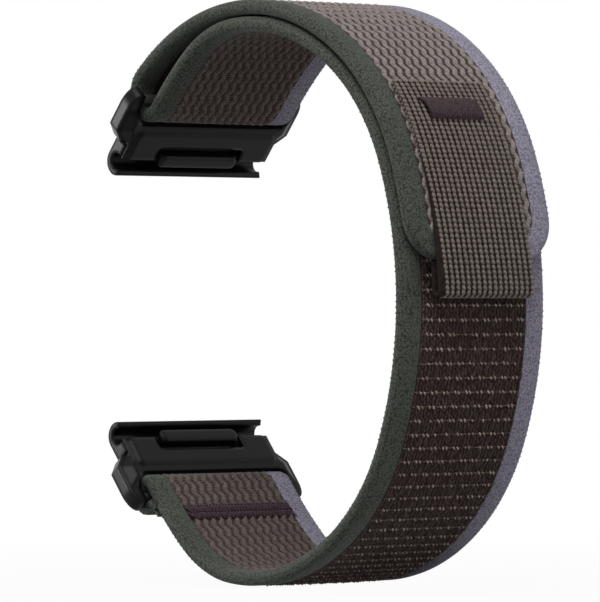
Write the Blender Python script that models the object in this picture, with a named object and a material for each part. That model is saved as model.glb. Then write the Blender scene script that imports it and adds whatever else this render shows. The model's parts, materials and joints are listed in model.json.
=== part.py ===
"""Hook-and-loop watch strap with a quick-release connector at each end.

The strap stands closed, as on a wrist. The wrist axis runs along Y through the origin,
the watch side is at -X, the strap side at +X, and Z is up. Lengths are in metres and
sweeps in degrees.

A connector has its own frame: X runs toward its jaw, Y along its strap bar, and Z
toward the wrist. Its origin is on the bar's axis, which is also its swing axis.
"""

import math

import bmesh
import bpy
import numpy as np
from mathutils import Matrix, Vector

# Fits
SEAT_GAP = 0.0003
SLIDE_GAP = 0.0003
OVERRUN = 0.0010
LAP = 0.0002
WELD_REACH = 0.000002

# Band webbing
BAND_WIDTH = 0.0254
BINDING_THICKNESS = 0.0020
BINDING_WIDTH = 0.0030
BINDING_RAMP = 0.0004
CORE_THICKNESS = 0.0016
EDGE_STEPS = 4
TURN_STEP = 6.0
TIGHT_TURN_STEP = 15.0
TIGHT_RADIUS = 0.0080

# Half of the closed loop's centre line, from its widest point to the connector
LOOP_REACH = 0.0284
SIDE_RADIUS = 0.0500
SIDE_SWEEP = 22.0
SHOULDER_RADIUS = 0.0296
SHOULDER_SWEEP = 33.0
CROWN_RADIUS = 0.0326
CROWN_SWEEP = 40.0
HEEL_RADIUS = 0.0177
HEEL_SWEEP = 35.0
LEAD_RADIUS = 0.0550
LEAD_SWEEP = 10.0

# Wrap over the upper strap bar
WRAP_RADIUS = 0.0025

# Fold-back sewn round the lower strap bar, thinned there and skived toward its end
FOLD_LEAD = 0.0008
FOLD_THINNING = 0.0050
FOLD_THICKNESS = 0.0017
FOLD_END_THICKNESS = 0.0005
FOLD_DIP = 50.0
FOLD_EASE = 4.0
FOLD_RADIUS = 0.0025
FOLD_TAIL = 0.0022
SEAM_START = 0.0032
SEAM_LENGTH = 0.0023
SEAM_THICKNESS = 0.0004

# Tail, measured along its centre line from the line where its end bends
TAIL_PEEL_SWEEP = 20.0
TAIL_LENGTH = 0.0330
TAIL_CORNER = 0.0055
TAIL_CORNER_STEPS = 6
TAIL_STEP = 0.0020
HOOK_LENGTH = 0.0215
HOOK_THICKNESS = 0.0008
HOOK_OVERHANG = 0.0042

# Pull tab
TAB_WIDTH = 0.0154
TAB_PLY = 0.0009
TAB_TOP = 0.0090
TAB_BEND = 0.0157
TAB_OVERHANG = 0.0041
TAB_FOLD_STEPS = 6
TACK_START = 0.0116
TACK_LENGTH = 0.0030
TACK_WIDTH = 0.0104
TACK_THICKNESS = 0.0006

# Strap bar
BAR_RADIUS = 0.0007
BAR_TIP_RADIUS = 0.00035
BAR_TIP_LENGTH = 0.0007
BAR_SEGMENTS = 20

# Connector frame
SLOT_SIDE_GAP = 0.0005
SLOT_CORNER = 0.0015
ARM_WIDTH = 0.0021
ARM_REACH = 0.0014
ARM_CORNER = 0.0027
ARM_STEPS = 9
TIP_CORNER = 0.0005
TIP_FLAT = 0.0002
ARM_HEIGHT = 0.0010
CHEEK_LENGTH = 0.0017
TAPER_LENGTH = 0.0027
SHOULDER_START = 0.0008
SHOULDER_MARGIN = 0.0001
SHOULDER_SLOPE = 0.0017
DECK_LENGTH = 0.0058
DECK_BASE = 0.0019
DECK_BACK = 0.0011
PANEL_START = 0.0010
PANEL_INSET = 0.0006
PANEL_HEIGHT = 0.0004
PANEL_BEVEL = 0.00025
PANEL_CORNER = 0.0008
EAVE_HEIGHT = 0.0016
EDGE_BEVEL = 0.00014

# Hooked jaw
JAW_WIDTH = 0.0258
PIN_CHANNEL_RADIUS = 0.00115
JAW_WALL = 0.0009
JAW_LIP_SWEEP = 50.0
JAW_LENGTH = 0.0102
JAW_STEP = 10.0
CLAW_LENGTH = 0.00185
JAW_PLATE_THICKNESS = 0.0006
JAW_PLATE_WIDTH = 0.0230
JAW_PLATE_START = 0.0010
CORNER_STEPS = 8

# Latch slider
LATCH_WIDTH = 0.0135
LATCH_TRAVEL = 0.0009
LATCH_PLATE_THICKNESS = 0.0009
LATCH_PLATE_LENGTH = 0.0026
LATCH_EAR = 0.0010
LATCH_HEIGHT = 0.0029
LATCH_TONGUE = 0.0010
LATCH_CORNER = 0.0009
LATCH_BEVEL = 0.00025
RECESS_MARGIN = 0.0008
RECESS_CORNER = 0.0007

# Latch springs
SPRING_RADIUS = 0.00036
SPRING_WIRE = 0.00009
SPRING_CURLS = 4
SPRING_CURL_POINTS = 9
SPRING_OFFSET = 0.0046
SPRING_END_GAP = 0.0001
SPRING_LENGTH = 0.0031

# Rivets
RIVET_RADIUS = 0.0005
RIVET_HEAD_RADIUS = 0.0008
RIVET_HEAD_HEIGHT = 0.0003
RIVET_DEPTH = 0.0015
RIVET_OFFSET = 0.0098
RIVET_PLACE = 0.0025
RIVET_SEGMENTS = 16

# Sizes that follow from those above
HALF_TURN = 180.0
QUARTER_TURN = 90.0
LAYER_PITCH = BINDING_THICKNESS + SEAT_GAP
FOLD_WRAP_RADIUS = BAR_RADIUS + SEAT_GAP + FOLD_THICKNESS / 2
FOLD_PITCH = (BINDING_THICKNESS + FOLD_END_THICKNESS) / 2 + SEAT_GAP
BAR_SET = WRAP_RADIUS - BINDING_THICKNESS / 2 - SEAT_GAP - BAR_RADIUS
ARM_INNER = BAND_WIDTH / 2 + SLOT_SIDE_GAP
ARM_OUTER = ARM_INNER + ARM_WIDTH
TIP_START = ARM_INNER + TIP_CORNER + TIP_FLAT
SLOT_EDGE = WRAP_RADIUS + BINDING_THICKNESS / 2 + SEAT_GAP - BAR_SET
CHEEK_END = SLOT_EDGE + CHEEK_LENGTH
TAPER_END = CHEEK_END + TAPER_LENGTH
DECK_FRONT = SLOT_EDGE + DECK_LENGTH
DECK_TOP = DECK_BASE + PANEL_HEIGHT
JAW_OUTER_RADIUS = PIN_CHANNEL_RADIUS + JAW_WALL
JAW_CENTRE_HEIGHT = JAW_OUTER_RADIUS - DECK_BACK
CLAW_FACE = JAW_LENGTH - PIN_CHANNEL_RADIUS
CLAW_BACK = CLAW_FACE - CLAW_LENGTH
CLAW_HEIGHT = EAVE_HEIGHT - SEAT_GAP
POCKET_FLOOR = JAW_PLATE_THICKNESS + SEAT_GAP - DECK_BACK
LATCH_FLOOR = POCKET_FLOOR + SLIDE_GAP
LATCH_PLATE_TOP = LATCH_FLOOR + LATCH_PLATE_THICKNESS
POCKET_ROOF = LATCH_PLATE_TOP + SLIDE_GAP
LATCH_FACE = CLAW_FACE - LAP
LATCH_BLOCK_BACK = LATCH_FACE - JAW_WALL
LATCH_PLATE_BACK = LATCH_BLOCK_BACK - LATCH_PLATE_LENGTH
POCKET_BACK = LATCH_PLATE_BACK - LATCH_TRAVEL - SLIDE_GAP
RECESS_BACK = LATCH_BLOCK_BACK - LATCH_TRAVEL - SLIDE_GAP
EAR_FRONT = CLAW_BACK - SLIDE_GAP
WINDOW_HALF_WIDTH = LATCH_WIDTH / 2 + SLIDE_GAP
POCKET_HALF_WIDTH = WINDOW_HALF_WIDTH + LATCH_EAR
SPRING_HEIGHT = (POCKET_FLOOR + POCKET_ROOF) / 2
SPRING_START = POCKET_BACK + SPRING_END_GAP
SPRING_END = SPRING_START + SPRING_LENGTH
SPRING_BAY_HALF_WIDTH = SPRING_RADIUS + SPRING_WIRE + SLIDE_GAP
TAB_LIFT = CORE_THICKNESS / 2 + SEAT_GAP + TAB_PLY / 2
HOOK_DROP = LAYER_PITCH - CORE_THICKNESS / 2 - SEAT_GAP - HOOK_THICKNESS / 2
TAB_BACK_LIFT = TAB_PLY / 2 + SEAT_GAP + HOOK_THICKNESS / 2 - HOOK_DROP
TACK_LIFT = TAB_LIFT + TAB_PLY / 2 + SEAT_GAP + TACK_THICKNESS / 2
HALF_LOOP = (
    (SIDE_SWEEP, SIDE_RADIUS),
    (SHOULDER_SWEEP, SHOULDER_RADIUS),
    (CROWN_SWEEP, CROWN_RADIUS),
    (HEEL_SWEEP, HEEL_RADIUS),
    (LEAD_SWEEP, LEAD_RADIUS),
)
SIDES = {"near": -1, "far": 1}


# Routes: stations (x, z, heading) along tangent runs in the XZ plane

def run_point(station, sweep, size, part):
    """Station a part of the way along one run.

    A run is (sweep, radius), left turns positive. A run with no sweep is straight,
    and its second value is its length.
    """
    x, z, heading = station
    if sweep == 0:
        reach = size * part
        return (x + reach * math.cos(heading), z + reach * math.sin(heading), heading)
    radius = math.copysign(size, sweep)
    angle = heading + math.radians(sweep) * part
    return (
        x + radius * (math.sin(angle) - math.sin(heading)),
        z - radius * (math.cos(angle) - math.cos(heading)),
        angle,
    )


def run_length(sweep, size):
    return size * math.radians(abs(sweep)) if sweep else size


def follow(station, runs):
    """Stations from one place along tangent runs, close enough together to look round."""
    stations = [station]
    for sweep, size in runs:
        turn_step = TIGHT_TURN_STEP if size < TIGHT_RADIUS else TURN_STEP
        steps = max(1, math.ceil(abs(sweep) / turn_step))
        start = stations[-1]
        for step in range(1, steps + 1):
            stations.append(run_point(start, sweep, size, step / steps))
    return stations


def point_along(station, runs, distance):
    """Station at a distance along tangent runs, straight on past their end."""
    for sweep, size in runs:
        length = run_length(sweep, size)
        if distance <= length:
            return run_point(station, sweep, size, distance / length)
        station = run_point(station, sweep, size, 1)
        distance -= length
    return run_point(station, 0, distance, 1)


def distances(stations):
    """Distance along a route at each of its stations."""
    places = np.array(stations)
    steps = np.hypot(*np.diff(places[:, :2], axis=0).T)
    return [0, *np.cumsum(steps)]


def to_right(station, distance):
    """The station moved square to the route, to the right of its heading."""
    x, z, heading = station
    return (x + distance * math.sin(heading), z - distance * math.cos(heading), heading)


def mirrored(stations):
    """The same route below the XY plane, walked the other way."""
    return [(x, -z, math.pi - heading) for x, z, heading in reversed(stations)]


def turn_centre(station, radius):
    """Centre of a left turn."""
    x, z, _ = to_right(station, -radius)
    return Vector((x, z))


def merging_turn(station, centre, radius):
    """Sweep and radius of the right turn that runs into a circle from inside."""
    x, z, heading = station
    offset = Vector((x, z)) - centre
    right = Vector((math.sin(heading), -math.cos(heading)))
    size = (radius ** 2 - offset.length_squared) / (2 * right.dot(offset) + 2 * radius)
    towards = offset + right * size
    end_heading = math.atan2(towards.y, towards.x) - math.radians(QUARTER_TURN)
    return math.degrees(end_heading - heading), size


# Route of the band

UPPER_HALF = follow((LOOP_REACH, 0, math.radians(QUARTER_TURN)), HALF_LOOP)
LOWER_HALF = mirrored(UPPER_HALF)
SLOT_ENTRY = UPPER_HALF[-1]
CONNECTOR_HEADING = SLOT_ENTRY[2]
UPPER_BAR_PLACE = to_right(run_point(SLOT_ENTRY, 0, BAR_SET, 1), WRAP_RADIUS)
LOWER_BAR_PLACE = to_right(run_point(SLOT_ENTRY, 0, FOLD_LEAD, 1), FOLD_WRAP_RADIUS)
CROWN_START = point_along(UPPER_HALF[0], HALF_LOOP[:2], sum(run_length(*run) for run in HALF_LOOP[:2]))
CROWN_CENTRE = turn_centre(CROWN_START, CROWN_RADIUS)
TAIL_CROWN_RADIUS = CROWN_RADIUS + LAYER_PITCH


def upper_wrap_runs():
    """Round the upper bar, then along the crown up to where the tail starts to peel."""
    over_bar = run_point(SLOT_ENTRY, -QUARTER_TURN, WRAP_RADIUS, 1)
    sweep, size = merging_turn(over_bar, CROWN_CENTRE, TAIL_CROWN_RADIUS)
    heading = math.degrees(over_bar[2]) + sweep
    crown_end = math.degrees(CROWN_START[2]) - HALF_TURN + TAIL_PEEL_SWEEP
    crown_sweep = (crown_end - heading + HALF_TURN) % (2 * HALF_TURN) - HALF_TURN
    return ((-QUARTER_TURN, WRAP_RADIUS), (sweep, size), (crown_sweep, TAIL_CROWN_RADIUS))


def fold_back_runs():
    """Round a bar and back down onto the layer that it came from."""
    dip = math.radians(FOLD_DIP)
    rise = FOLD_WRAP_RADIUS * (1 + math.cos(dip)) - FOLD_PITCH - FOLD_RADIUS * (1 - math.cos(dip))
    return (
        (0, FOLD_LEAD),
        (-HALF_TURN - FOLD_DIP, FOLD_WRAP_RADIUS),
        (0, rise / math.sin(dip)),
        (FOLD_DIP - FOLD_EASE, FOLD_RADIUS),
        (0, FOLD_TAIL),
    )


def fold_thickness(distance):
    """Thickness at a distance past the slot entry, on the way round the lower bar."""
    lead, wrap, straight, lift, _ = (run_length(*run) for run in fold_back_runs())
    marks = (lead - FOLD_THINNING, lead, lead + wrap / 2, lead + wrap + straight + lift)
    sizes = (BINDING_THICKNESS, FOLD_THICKNESS, FOLD_THICKNESS, FOLD_END_THICKNESS)
    return float(np.interp(distance, marks, sizes))


PEEL_START = follow(SLOT_ENTRY, upper_wrap_runs())[-1]
TAIL_START = run_point(PEEL_START, -TAIL_PEEL_SWEEP, TAIL_CROWN_RADIUS, 1)
TAIL_RUNS = (
    (-SHOULDER_SWEEP, SHOULDER_RADIUS + LAYER_PITCH),
    (-SIDE_SWEEP, SIDE_RADIUS + LAYER_PITCH),
)


def along_tail(start, end, lift):
    """Stations over a stretch of the tail, lifted off its centre line, outward positive."""
    steps = max(2, math.ceil((end - start) / TAIL_STEP))
    places = [start + (end - start) * step / steps for step in range(steps + 1)]
    return [to_right(point_along(TAIL_START, TAIL_RUNS, place), -lift) for place in places]


# Cross-sections: points (across, off), off positive to the right of the route

def band_section(half_width, thickness=BINDING_THICKNESS):
    """The webbing's outline, with a rounded thicker binding on each edge."""
    radius = thickness / 2
    core = CORE_THICKNESS / 2 * thickness / BINDING_THICKNESS
    binding = half_width - BINDING_WIDTH
    ramp = binding - BINDING_RAMP
    edge = [(ramp, -core), (binding, -radius)]
    for step in range(EDGE_STEPS + 1):
        angle = math.pi * (step / EDGE_STEPS - 1 / 2)
        edge.append((half_width - radius + radius * math.cos(angle), radius * math.sin(angle)))
    edge += [(binding, radius), (ramp, core)]
    return edge + [(-across, off) for across, off in reversed(edge)]


def strip_section(width, thickness):
    """A flat strip's outline with eased edges."""
    half = width / 2
    off = thickness / 2
    ease = thickness / 4
    edge = [(half - ease, -off), (half, ease - off), (half, off - ease), (half - ease, off)]
    return edge + [(-across, depth) for across, depth in reversed(edge)]


# Meshes and objects

def material(name, colour, roughness, metallic=0.0):
    shader = bpy.data.materials.new(name)
    shader.use_nodes = True
    principled = shader.node_tree.nodes["Principled BSDF"]
    principled.inputs["Base Color"].default_value = (*colour, 1)
    principled.inputs["Roughness"].default_value = roughness
    principled.inputs["Metallic"].default_value = metallic
    shader.diffuse_color = (*colour, 1)
    return shader


def add_object(name, mesh, shader=None, parent=None):
    thing = bpy.data.objects.new(name, mesh)
    bpy.context.scene.collection.objects.link(thing)
    if shader:
        mesh.materials.clear()
        mesh.materials.append(shader)
    if parent:
        thing.parent = parent
    return thing


def finish_mesh(bm, name, smooth_angle=math.radians(35)):
    bmesh.ops.recalc_face_normals(bm, faces=bm.faces)
    mesh = bpy.data.meshes.new(name)
    bm.to_mesh(mesh)
    bm.free()
    mesh.shade_smooth()
    mesh.set_sharp_from_angle(angle=smooth_angle)
    return mesh


def loft(name, rings):
    """A closed solid through rings of the same number of points."""
    bm = bmesh.new()
    loops = [[bm.verts.new(point) for point in ring] for ring in rings]
    count = len(rings[0])
    for here, ahead in zip(loops, loops[1:]):
        for index in range(count):
            after = (index + 1) % count
            bm.faces.new((here[index], here[after], ahead[after], ahead[index]))
    bm.faces.new(reversed(loops[0]))
    bm.faces.new(loops[-1])
    return finish_mesh(bm, name)


def sweep(name, stations, sections):
    """A section carried along a route; sections is one outline or one for each station."""
    if not isinstance(sections[0], list):
        sections = [sections] * len(stations)
    rings = []
    for station, section in zip(stations, sections):
        ring = []
        for across, off in section:
            x, z, _ = to_right(station, off)
            ring.append((x, across, z))
        rings.append(ring)
    return loft(name, rings)


def extrusion(name, outline, low, high, axis):
    """An outline pulled along Y (outline in X, Z) or along Z (outline in X, Y)."""
    rings = []
    for depth in (low, high):
        if axis == "Y":
            rings.append([(a, depth, b) for a, b in outline])
        else:
            rings.append([(a, b, depth) for a, b in outline])
    return loft(name, rings)


def rectangle(x_low, x_high, y_low, y_high):
    return [(x_low, y_low), (x_high, y_low), (x_high, y_high), (x_low, y_high)]


def corner_arc(x, y, radius, start):
    """A quarter circle about (x, y), anticlockwise from an angle in degrees."""
    arc = []
    for step in range(CORNER_STEPS + 1):
        angle = math.radians(start + QUARTER_TURN * step / CORNER_STEPS)
        arc.append((x + radius * math.cos(angle), y + radius * math.sin(angle)))
    return arc


def rounded_rectangle(x_low, x_high, half_width, corner):
    """A rectangle about the X axis with rounded corners."""
    centres = (
        (x_high - corner, half_width - corner),
        (x_low + corner, half_width - corner),
        (x_low + corner, corner - half_width),
        (x_high - corner, corner - half_width),
    )
    outline = []
    for quarter, (x, y) in enumerate(centres):
        outline += corner_arc(x, y, corner, quarter * QUARTER_TURN)
    return outline


def bevelled_pad(name, x_low, x_high, half_width, corner, low, high, bevel):
    """A rounded rectangle pulled up along Z, with its top edge bevelled."""
    wide = rounded_rectangle(x_low, x_high, half_width, corner)
    small = rounded_rectangle(x_low + bevel, x_high - bevel, half_width - bevel, corner - bevel)
    rings = [
        [(x, y, low) for x, y in wide],
        [(x, y, high - bevel) for x, y in wide],
        [(x, y, high) for x, y in small],
    ]
    return loft(name, rings)


def turned(name, profile, segments):
    """A profile (radius, along) turned about Z, closed at both ends."""
    rings = []
    for radius, along in profile:
        ring = []
        for segment in range(segments):
            angle = 2 * math.pi * segment / segments
            ring.append((radius * math.cos(angle), radius * math.sin(angle), along))
        rings.append(ring)
    return loft(name, rings)


def combined(name, base, additions, cuts, bevel=0.0):
    """One mesh from a base with additions joined on and cuts taken away."""
    core = add_object(name, base)
    operands = []
    for operation, meshes in (("UNION", additions), ("DIFFERENCE", cuts)):
        for mesh in meshes:
            operand = add_object(mesh.name, mesh)
            boolean = core.modifiers.new(mesh.name, "BOOLEAN")
            boolean.operation = operation
            boolean.solver = "EXACT"
            boolean.object = operand
            operands.append(operand)
    if bevel:
        core.modifiers.new("close_seams", "WELD").merge_threshold = WELD_REACH
        rounding = core.modifiers.new("edges", "BEVEL")
        rounding.width = bevel
        rounding.segments = 1
        rounding.limit_method = "ANGLE"
        rounding.angle_limit = math.radians(50)
        core.modifiers.new("close_points", "WELD").merge_threshold = WELD_REACH
    bpy.context.view_layer.update()
    depsgraph = bpy.context.evaluated_depsgraph_get()
    mesh = bpy.data.meshes.new_from_object(core.evaluated_get(depsgraph))
    mesh.name = name
    for thing in (core, *operands):
        bpy.data.objects.remove(thing)
    mesh.shade_smooth()
    mesh.set_sharp_from_angle(angle=math.radians(35))
    return mesh


def turned_y(mesh):
    """The mesh with its Z axis laid along Y."""
    mesh.transform(Matrix.Rotation(math.radians(-QUARTER_TURN), 4, "X"))
    return mesh


def moved(mesh, x, y, z):
    mesh.transform(Matrix.Translation((x, y, z)))
    return mesh


def pivot(name, place, matrix=None, parent=None):
    """An empty that a moving piece hangs on, on its joint's axis."""
    empty = bpy.data.objects.new(name, None)
    bpy.context.scene.collection.objects.link(empty)
    empty.empty_display_size = BAND_WIDTH / 4
    empty.matrix_world = matrix or Matrix.Translation(place)
    if parent:
        empty.parent = parent
        empty.matrix_parent_inverse = parent.matrix_world.inverted()
    bpy.context.view_layer.update()
    return empty


def add_piece(name, mesh, shader, axis=None):
    """A piece whose mesh is in the strap's frame, hung on the empty of its joint."""
    if axis:
        mesh.transform(axis.matrix_world.inverted())
    return add_object(name, mesh, shader, axis)


# Band

def band_loop():
    fold = follow(SLOT_ENTRY, fold_back_runs())
    wrap = follow(SLOT_ENTRY, upper_wrap_runs())
    stations = mirrored(fold)[:-1] + LOWER_HALF[:-1] + UPPER_HALF[:-1] + wrap
    half_width = BAND_WIDTH / 2
    thin = [band_section(half_width, fold_thickness(distance)) for distance in distances(fold)]
    full = [band_section(half_width)] * (len(stations) - len(thin))
    return sweep("band_loop", stations, thin[::-1] + full)


def seam_stitches():
    """The raised strip of stitches across the wrist face, over the fold-back."""
    lift = CORE_THICKNESS / 2 + SEAT_GAP + SEAM_THICKNESS / 2
    lower_runs = tuple(reversed(HALF_LOOP))
    stations = []
    for place in (SEAM_START, SEAM_START + SEAM_LENGTH / 2, SEAM_START + SEAM_LENGTH):
        stations.append(to_right(point_along(LOWER_HALF[0], lower_runs, place), -lift))
    width = BAND_WIDTH - 2 * (BINDING_WIDTH + BINDING_RAMP + SEAT_GAP)
    return sweep("seam_stitches", stations, strip_section(width, SEAM_THICKNESS))


def tail_bend():
    """The length of tail between the two lines where it peels away."""
    gap_sweep = math.degrees(SEAT_GAP / TAIL_CROWN_RADIUS)
    start = run_point(PEEL_START, -gap_sweep, TAIL_CROWN_RADIUS, 1)
    stations = follow(start, ((2 * gap_sweep - TAIL_PEEL_SWEEP, TAIL_CROWN_RADIUS),))
    return sweep("tail_bend", stations, band_section(BAND_WIDTH / 2))


def tail_half_width(to_end):
    """Half the tail's width at a distance from its end, drawn in round its corners."""
    short = max(TAIL_CORNER - to_end, 0)
    return BAND_WIDTH / 2 - TAIL_CORNER + math.sqrt(TAIL_CORNER ** 2 - short ** 2)


def tail_end():
    straight = along_tail(0, TAIL_LENGTH - TAIL_CORNER, 0)
    sections = [band_section(BAND_WIDTH / 2)] * len(straight)
    for step in range(1, TAIL_CORNER_STEPS + 1):
        to_end = TAIL_CORNER * (1 - math.sin(math.pi / 2 * step / TAIL_CORNER_STEPS))
        straight.append(point_along(TAIL_START, TAIL_RUNS, TAIL_LENGTH - to_end))
        sections.append(band_section(tail_half_width(to_end)))
    whole = sweep("tail_end", straight, sections)
    depth = HOOK_THICKNESS + 2 * SEAT_GAP + OVERRUN
    pocket_drop = HOOK_DROP - HOOK_THICKNESS / 2 - SEAT_GAP + depth / 2
    pocket_start = TAIL_LENGTH + HOOK_OVERHANG - HOOK_LENGTH - SEAT_GAP
    pocket = sweep(
        "hook_pocket",
        along_tail(pocket_start, TAIL_LENGTH + OVERRUN, -pocket_drop),
        strip_section(TAB_WIDTH + 2 * SEAT_GAP, depth),
    )
    return combined("tail_end", whole, [], [pocket])


def hook_patch():
    end = TAIL_LENGTH + HOOK_OVERHANG
    stations = along_tail(end - HOOK_LENGTH, end, -HOOK_DROP)
    return sweep("hook_patch", stations, strip_section(TAB_WIDTH, HOOK_THICKNESS))


# Pull tab

def pull_tab_root():
    """The sewn end of the tab's webbing, under the bar-tack."""
    stations = along_tail(TAB_TOP, TAB_BEND - SEAT_GAP, TAB_LIFT)
    return sweep("pull_tab_root", stations, strip_section(TAB_WIDTH, TAB_PLY))


def pull_tab():
    """The free end: the outer ply, the fold and the back ply up to the tail's end."""
    turn = TAIL_LENGTH + TAB_OVERHANG
    outer = along_tail(TAB_BEND, turn, TAB_LIFT)
    fold_radius = (TAB_LIFT - TAB_BACK_LIFT) / 2
    fold = []
    for step in range(1, TAB_FOLD_STEPS):
        fold.append(run_point(outer[-1], -HALF_TURN, fold_radius, step / TAB_FOLD_STEPS))
    back = []
    for x, z, heading in reversed(along_tail(TAIL_LENGTH + SEAT_GAP, turn, TAB_BACK_LIFT)):
        back.append((x, z, heading - math.pi))
    return sweep("pull_tab", outer + fold + back, strip_section(TAB_WIDTH, TAB_PLY))


def tab_bar_tack():
    stations = along_tail(TACK_START, TACK_START + TACK_LENGTH, TACK_LIFT)
    return sweep("tab_bar_tack", stations, strip_section(TACK_WIDTH, TACK_THICKNESS))


# Connector, in its own frame

def arm_outline():
    """Plan of the arms and the back of the deck, round the outside."""
    right = []
    for step in range(ARM_STEPS + 1):
        angle = math.radians(QUARTER_TURN * step / ARM_STEPS)
        back = ARM_CORNER * (1 - math.cos(angle)) - ARM_REACH
        right.append((back, TIP_START + (ARM_OUTER - TIP_START) * math.sin(angle)))
    right.append((CHEEK_END, ARM_OUTER))
    right.append((TAPER_END, JAW_WIDTH / 2 + SHOULDER_MARGIN))
    return right + [(x, -y) for x, y in reversed(right)]


def slot_outline():
    """Plan of the strap slot, which flares round the inside of the arms' tips."""
    right = corner_arc(SLOT_EDGE - SLOT_CORNER, ARM_INNER - SLOT_CORNER, SLOT_CORNER, 0)
    tip = corner_arc(TIP_CORNER - ARM_REACH, ARM_INNER + TIP_CORNER, TIP_CORNER, HALF_TURN)
    right += reversed(tip)
    right.append((-ARM_REACH - OVERRUN, ARM_INNER + TIP_CORNER))
    return right + [(x, -y) for x, y in reversed(right)]


def deck_outline(inset):
    """Plan of the raised deck, with shoulders that run down onto the arms."""
    half_jaw = JAW_WIDTH / 2
    shoulder = ARM_OUTER - SHOULDER_MARGIN - inset
    taper = TAPER_LENGTH * (shoulder - half_jaw) / (ARM_OUTER - SHOULDER_MARGIN - half_jaw)
    right = [
        (SHOULDER_START + inset, shoulder),
        (CHEEK_END - inset / 2, shoulder),
        (CHEEK_END - inset / 2 + taper, half_jaw),
        (DECK_FRONT, half_jaw),
    ]
    return right + [(x, -y) for x, y in reversed(right)]


def connector_frame():
    """Side arms and deck with its raised panel, latch recess, spring pocket and holes."""
    past_front = DECK_FRONT + OVERRUN
    arms = extrusion("arms", arm_outline(), -DECK_BACK, ARM_HEIGHT, "Z")
    foot = [(x, y, ARM_HEIGHT - LAP) for x, y in deck_outline(0)]
    top = [(x, y, DECK_BASE) for x, y in deck_outline(SHOULDER_SLOPE)]
    deck = loft("deck", [foot, top])
    panel = bevelled_pad(
        "panel",
        SLOT_EDGE + PANEL_START,
        DECK_FRONT,
        JAW_WIDTH / 2 - PANEL_INSET,
        PANEL_CORNER,
        DECK_BASE - LAP,
        DECK_TOP,
        PANEL_BEVEL,
    )
    rebate_start = SLOT_EDGE + JAW_PLATE_START - SEAT_GAP
    rebate_plan = rectangle(
        rebate_start, past_front, -JAW_PLATE_WIDTH / 2 - SEAT_GAP, JAW_PLATE_WIDTH / 2 + SEAT_GAP
    )
    rebate = extrusion("rebate", rebate_plan, -DECK_BACK - OVERRUN, POCKET_FLOOR, "Z")
    pocket_plan = rectangle(POCKET_BACK, past_front, -POCKET_HALF_WIDTH, POCKET_HALF_WIDTH)
    pocket = extrusion("pocket", pocket_plan, POCKET_FLOOR - LAP, POCKET_ROOF, "Z")
    under_eave_plan = rectangle(
        CLAW_BACK - SEAT_GAP, past_front, -ARM_OUTER - OVERRUN, ARM_OUTER + OVERRUN
    )
    under_eave = extrusion("under_eave", under_eave_plan, -DECK_BACK - OVERRUN, EAVE_HEIGHT, "Z")
    recess_plan = rounded_rectangle(
        RECESS_BACK, past_front + OVERRUN, LATCH_WIDTH / 2 + RECESS_MARGIN, RECESS_CORNER
    )
    recess = extrusion("recess", recess_plan, POCKET_ROOF - LAP, DECK_TOP + OVERRUN, "Z")
    slot = extrusion("slot", slot_outline(), -DECK_BACK - OVERRUN, DECK_TOP + OVERRUN, "Z")
    cuts = [slot, rebate, pocket, under_eave, recess]
    for name, side in SIDES.items():
        low, high = sorted((side * (ARM_INNER - OVERRUN), side * (ARM_INNER + BAR_TIP_LENGTH + SEAT_GAP)))
        eye = [(BAR_TIP_RADIUS + SEAT_GAP, low), (BAR_TIP_RADIUS + SEAT_GAP, high)]
        cuts.append(turned_y(turned(f"eye_{name}", eye, BAR_SEGMENTS)))
        hole = [
            (RIVET_RADIUS + SEAT_GAP, -DECK_BACK - OVERRUN),
            (RIVET_RADIUS + SEAT_GAP, RIVET_DEPTH + SEAT_GAP - DECK_BACK),
        ]
        place = SLOT_EDGE + RIVET_PLACE
        cuts.append(moved(turned(f"rivet_hole_{name}", hole, RIVET_SEGMENTS), place, side * RIVET_OFFSET, 0))
    return combined("connector_frame", arms, [deck, panel], cuts, EDGE_BEVEL)


def jaw_outline():
    """Side view of the hooked jaw: a round channel with a curled lip and a claw."""
    x = JAW_LENGTH
    z = JAW_CENTRE_HEIGHT
    outline = []
    outer_sweep = QUARTER_TURN + JAW_LIP_SWEEP
    steps = math.ceil(outer_sweep / JAW_STEP)
    for step in range(steps + 1):
        angle = math.radians(outer_sweep * step / steps - QUARTER_TURN)
        outline.append((x + JAW_OUTER_RADIUS * math.cos(angle), z + JAW_OUTER_RADIUS * math.sin(angle)))
    inner_sweep = HALF_TURN + JAW_LIP_SWEEP
    steps = math.ceil(inner_sweep / JAW_STEP)
    for step in range(steps + 1):
        angle = math.radians(JAW_LIP_SWEEP - inner_sweep * step / steps)
        outline.append((x + PIN_CHANNEL_RADIUS * math.cos(angle), z + PIN_CHANNEL_RADIUS * math.sin(angle)))
    outline.append((CLAW_FACE, CLAW_HEIGHT))
    outline.append((CLAW_BACK, CLAW_HEIGHT))
    outline.append((CLAW_BACK, -DECK_BACK))
    return outline


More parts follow.
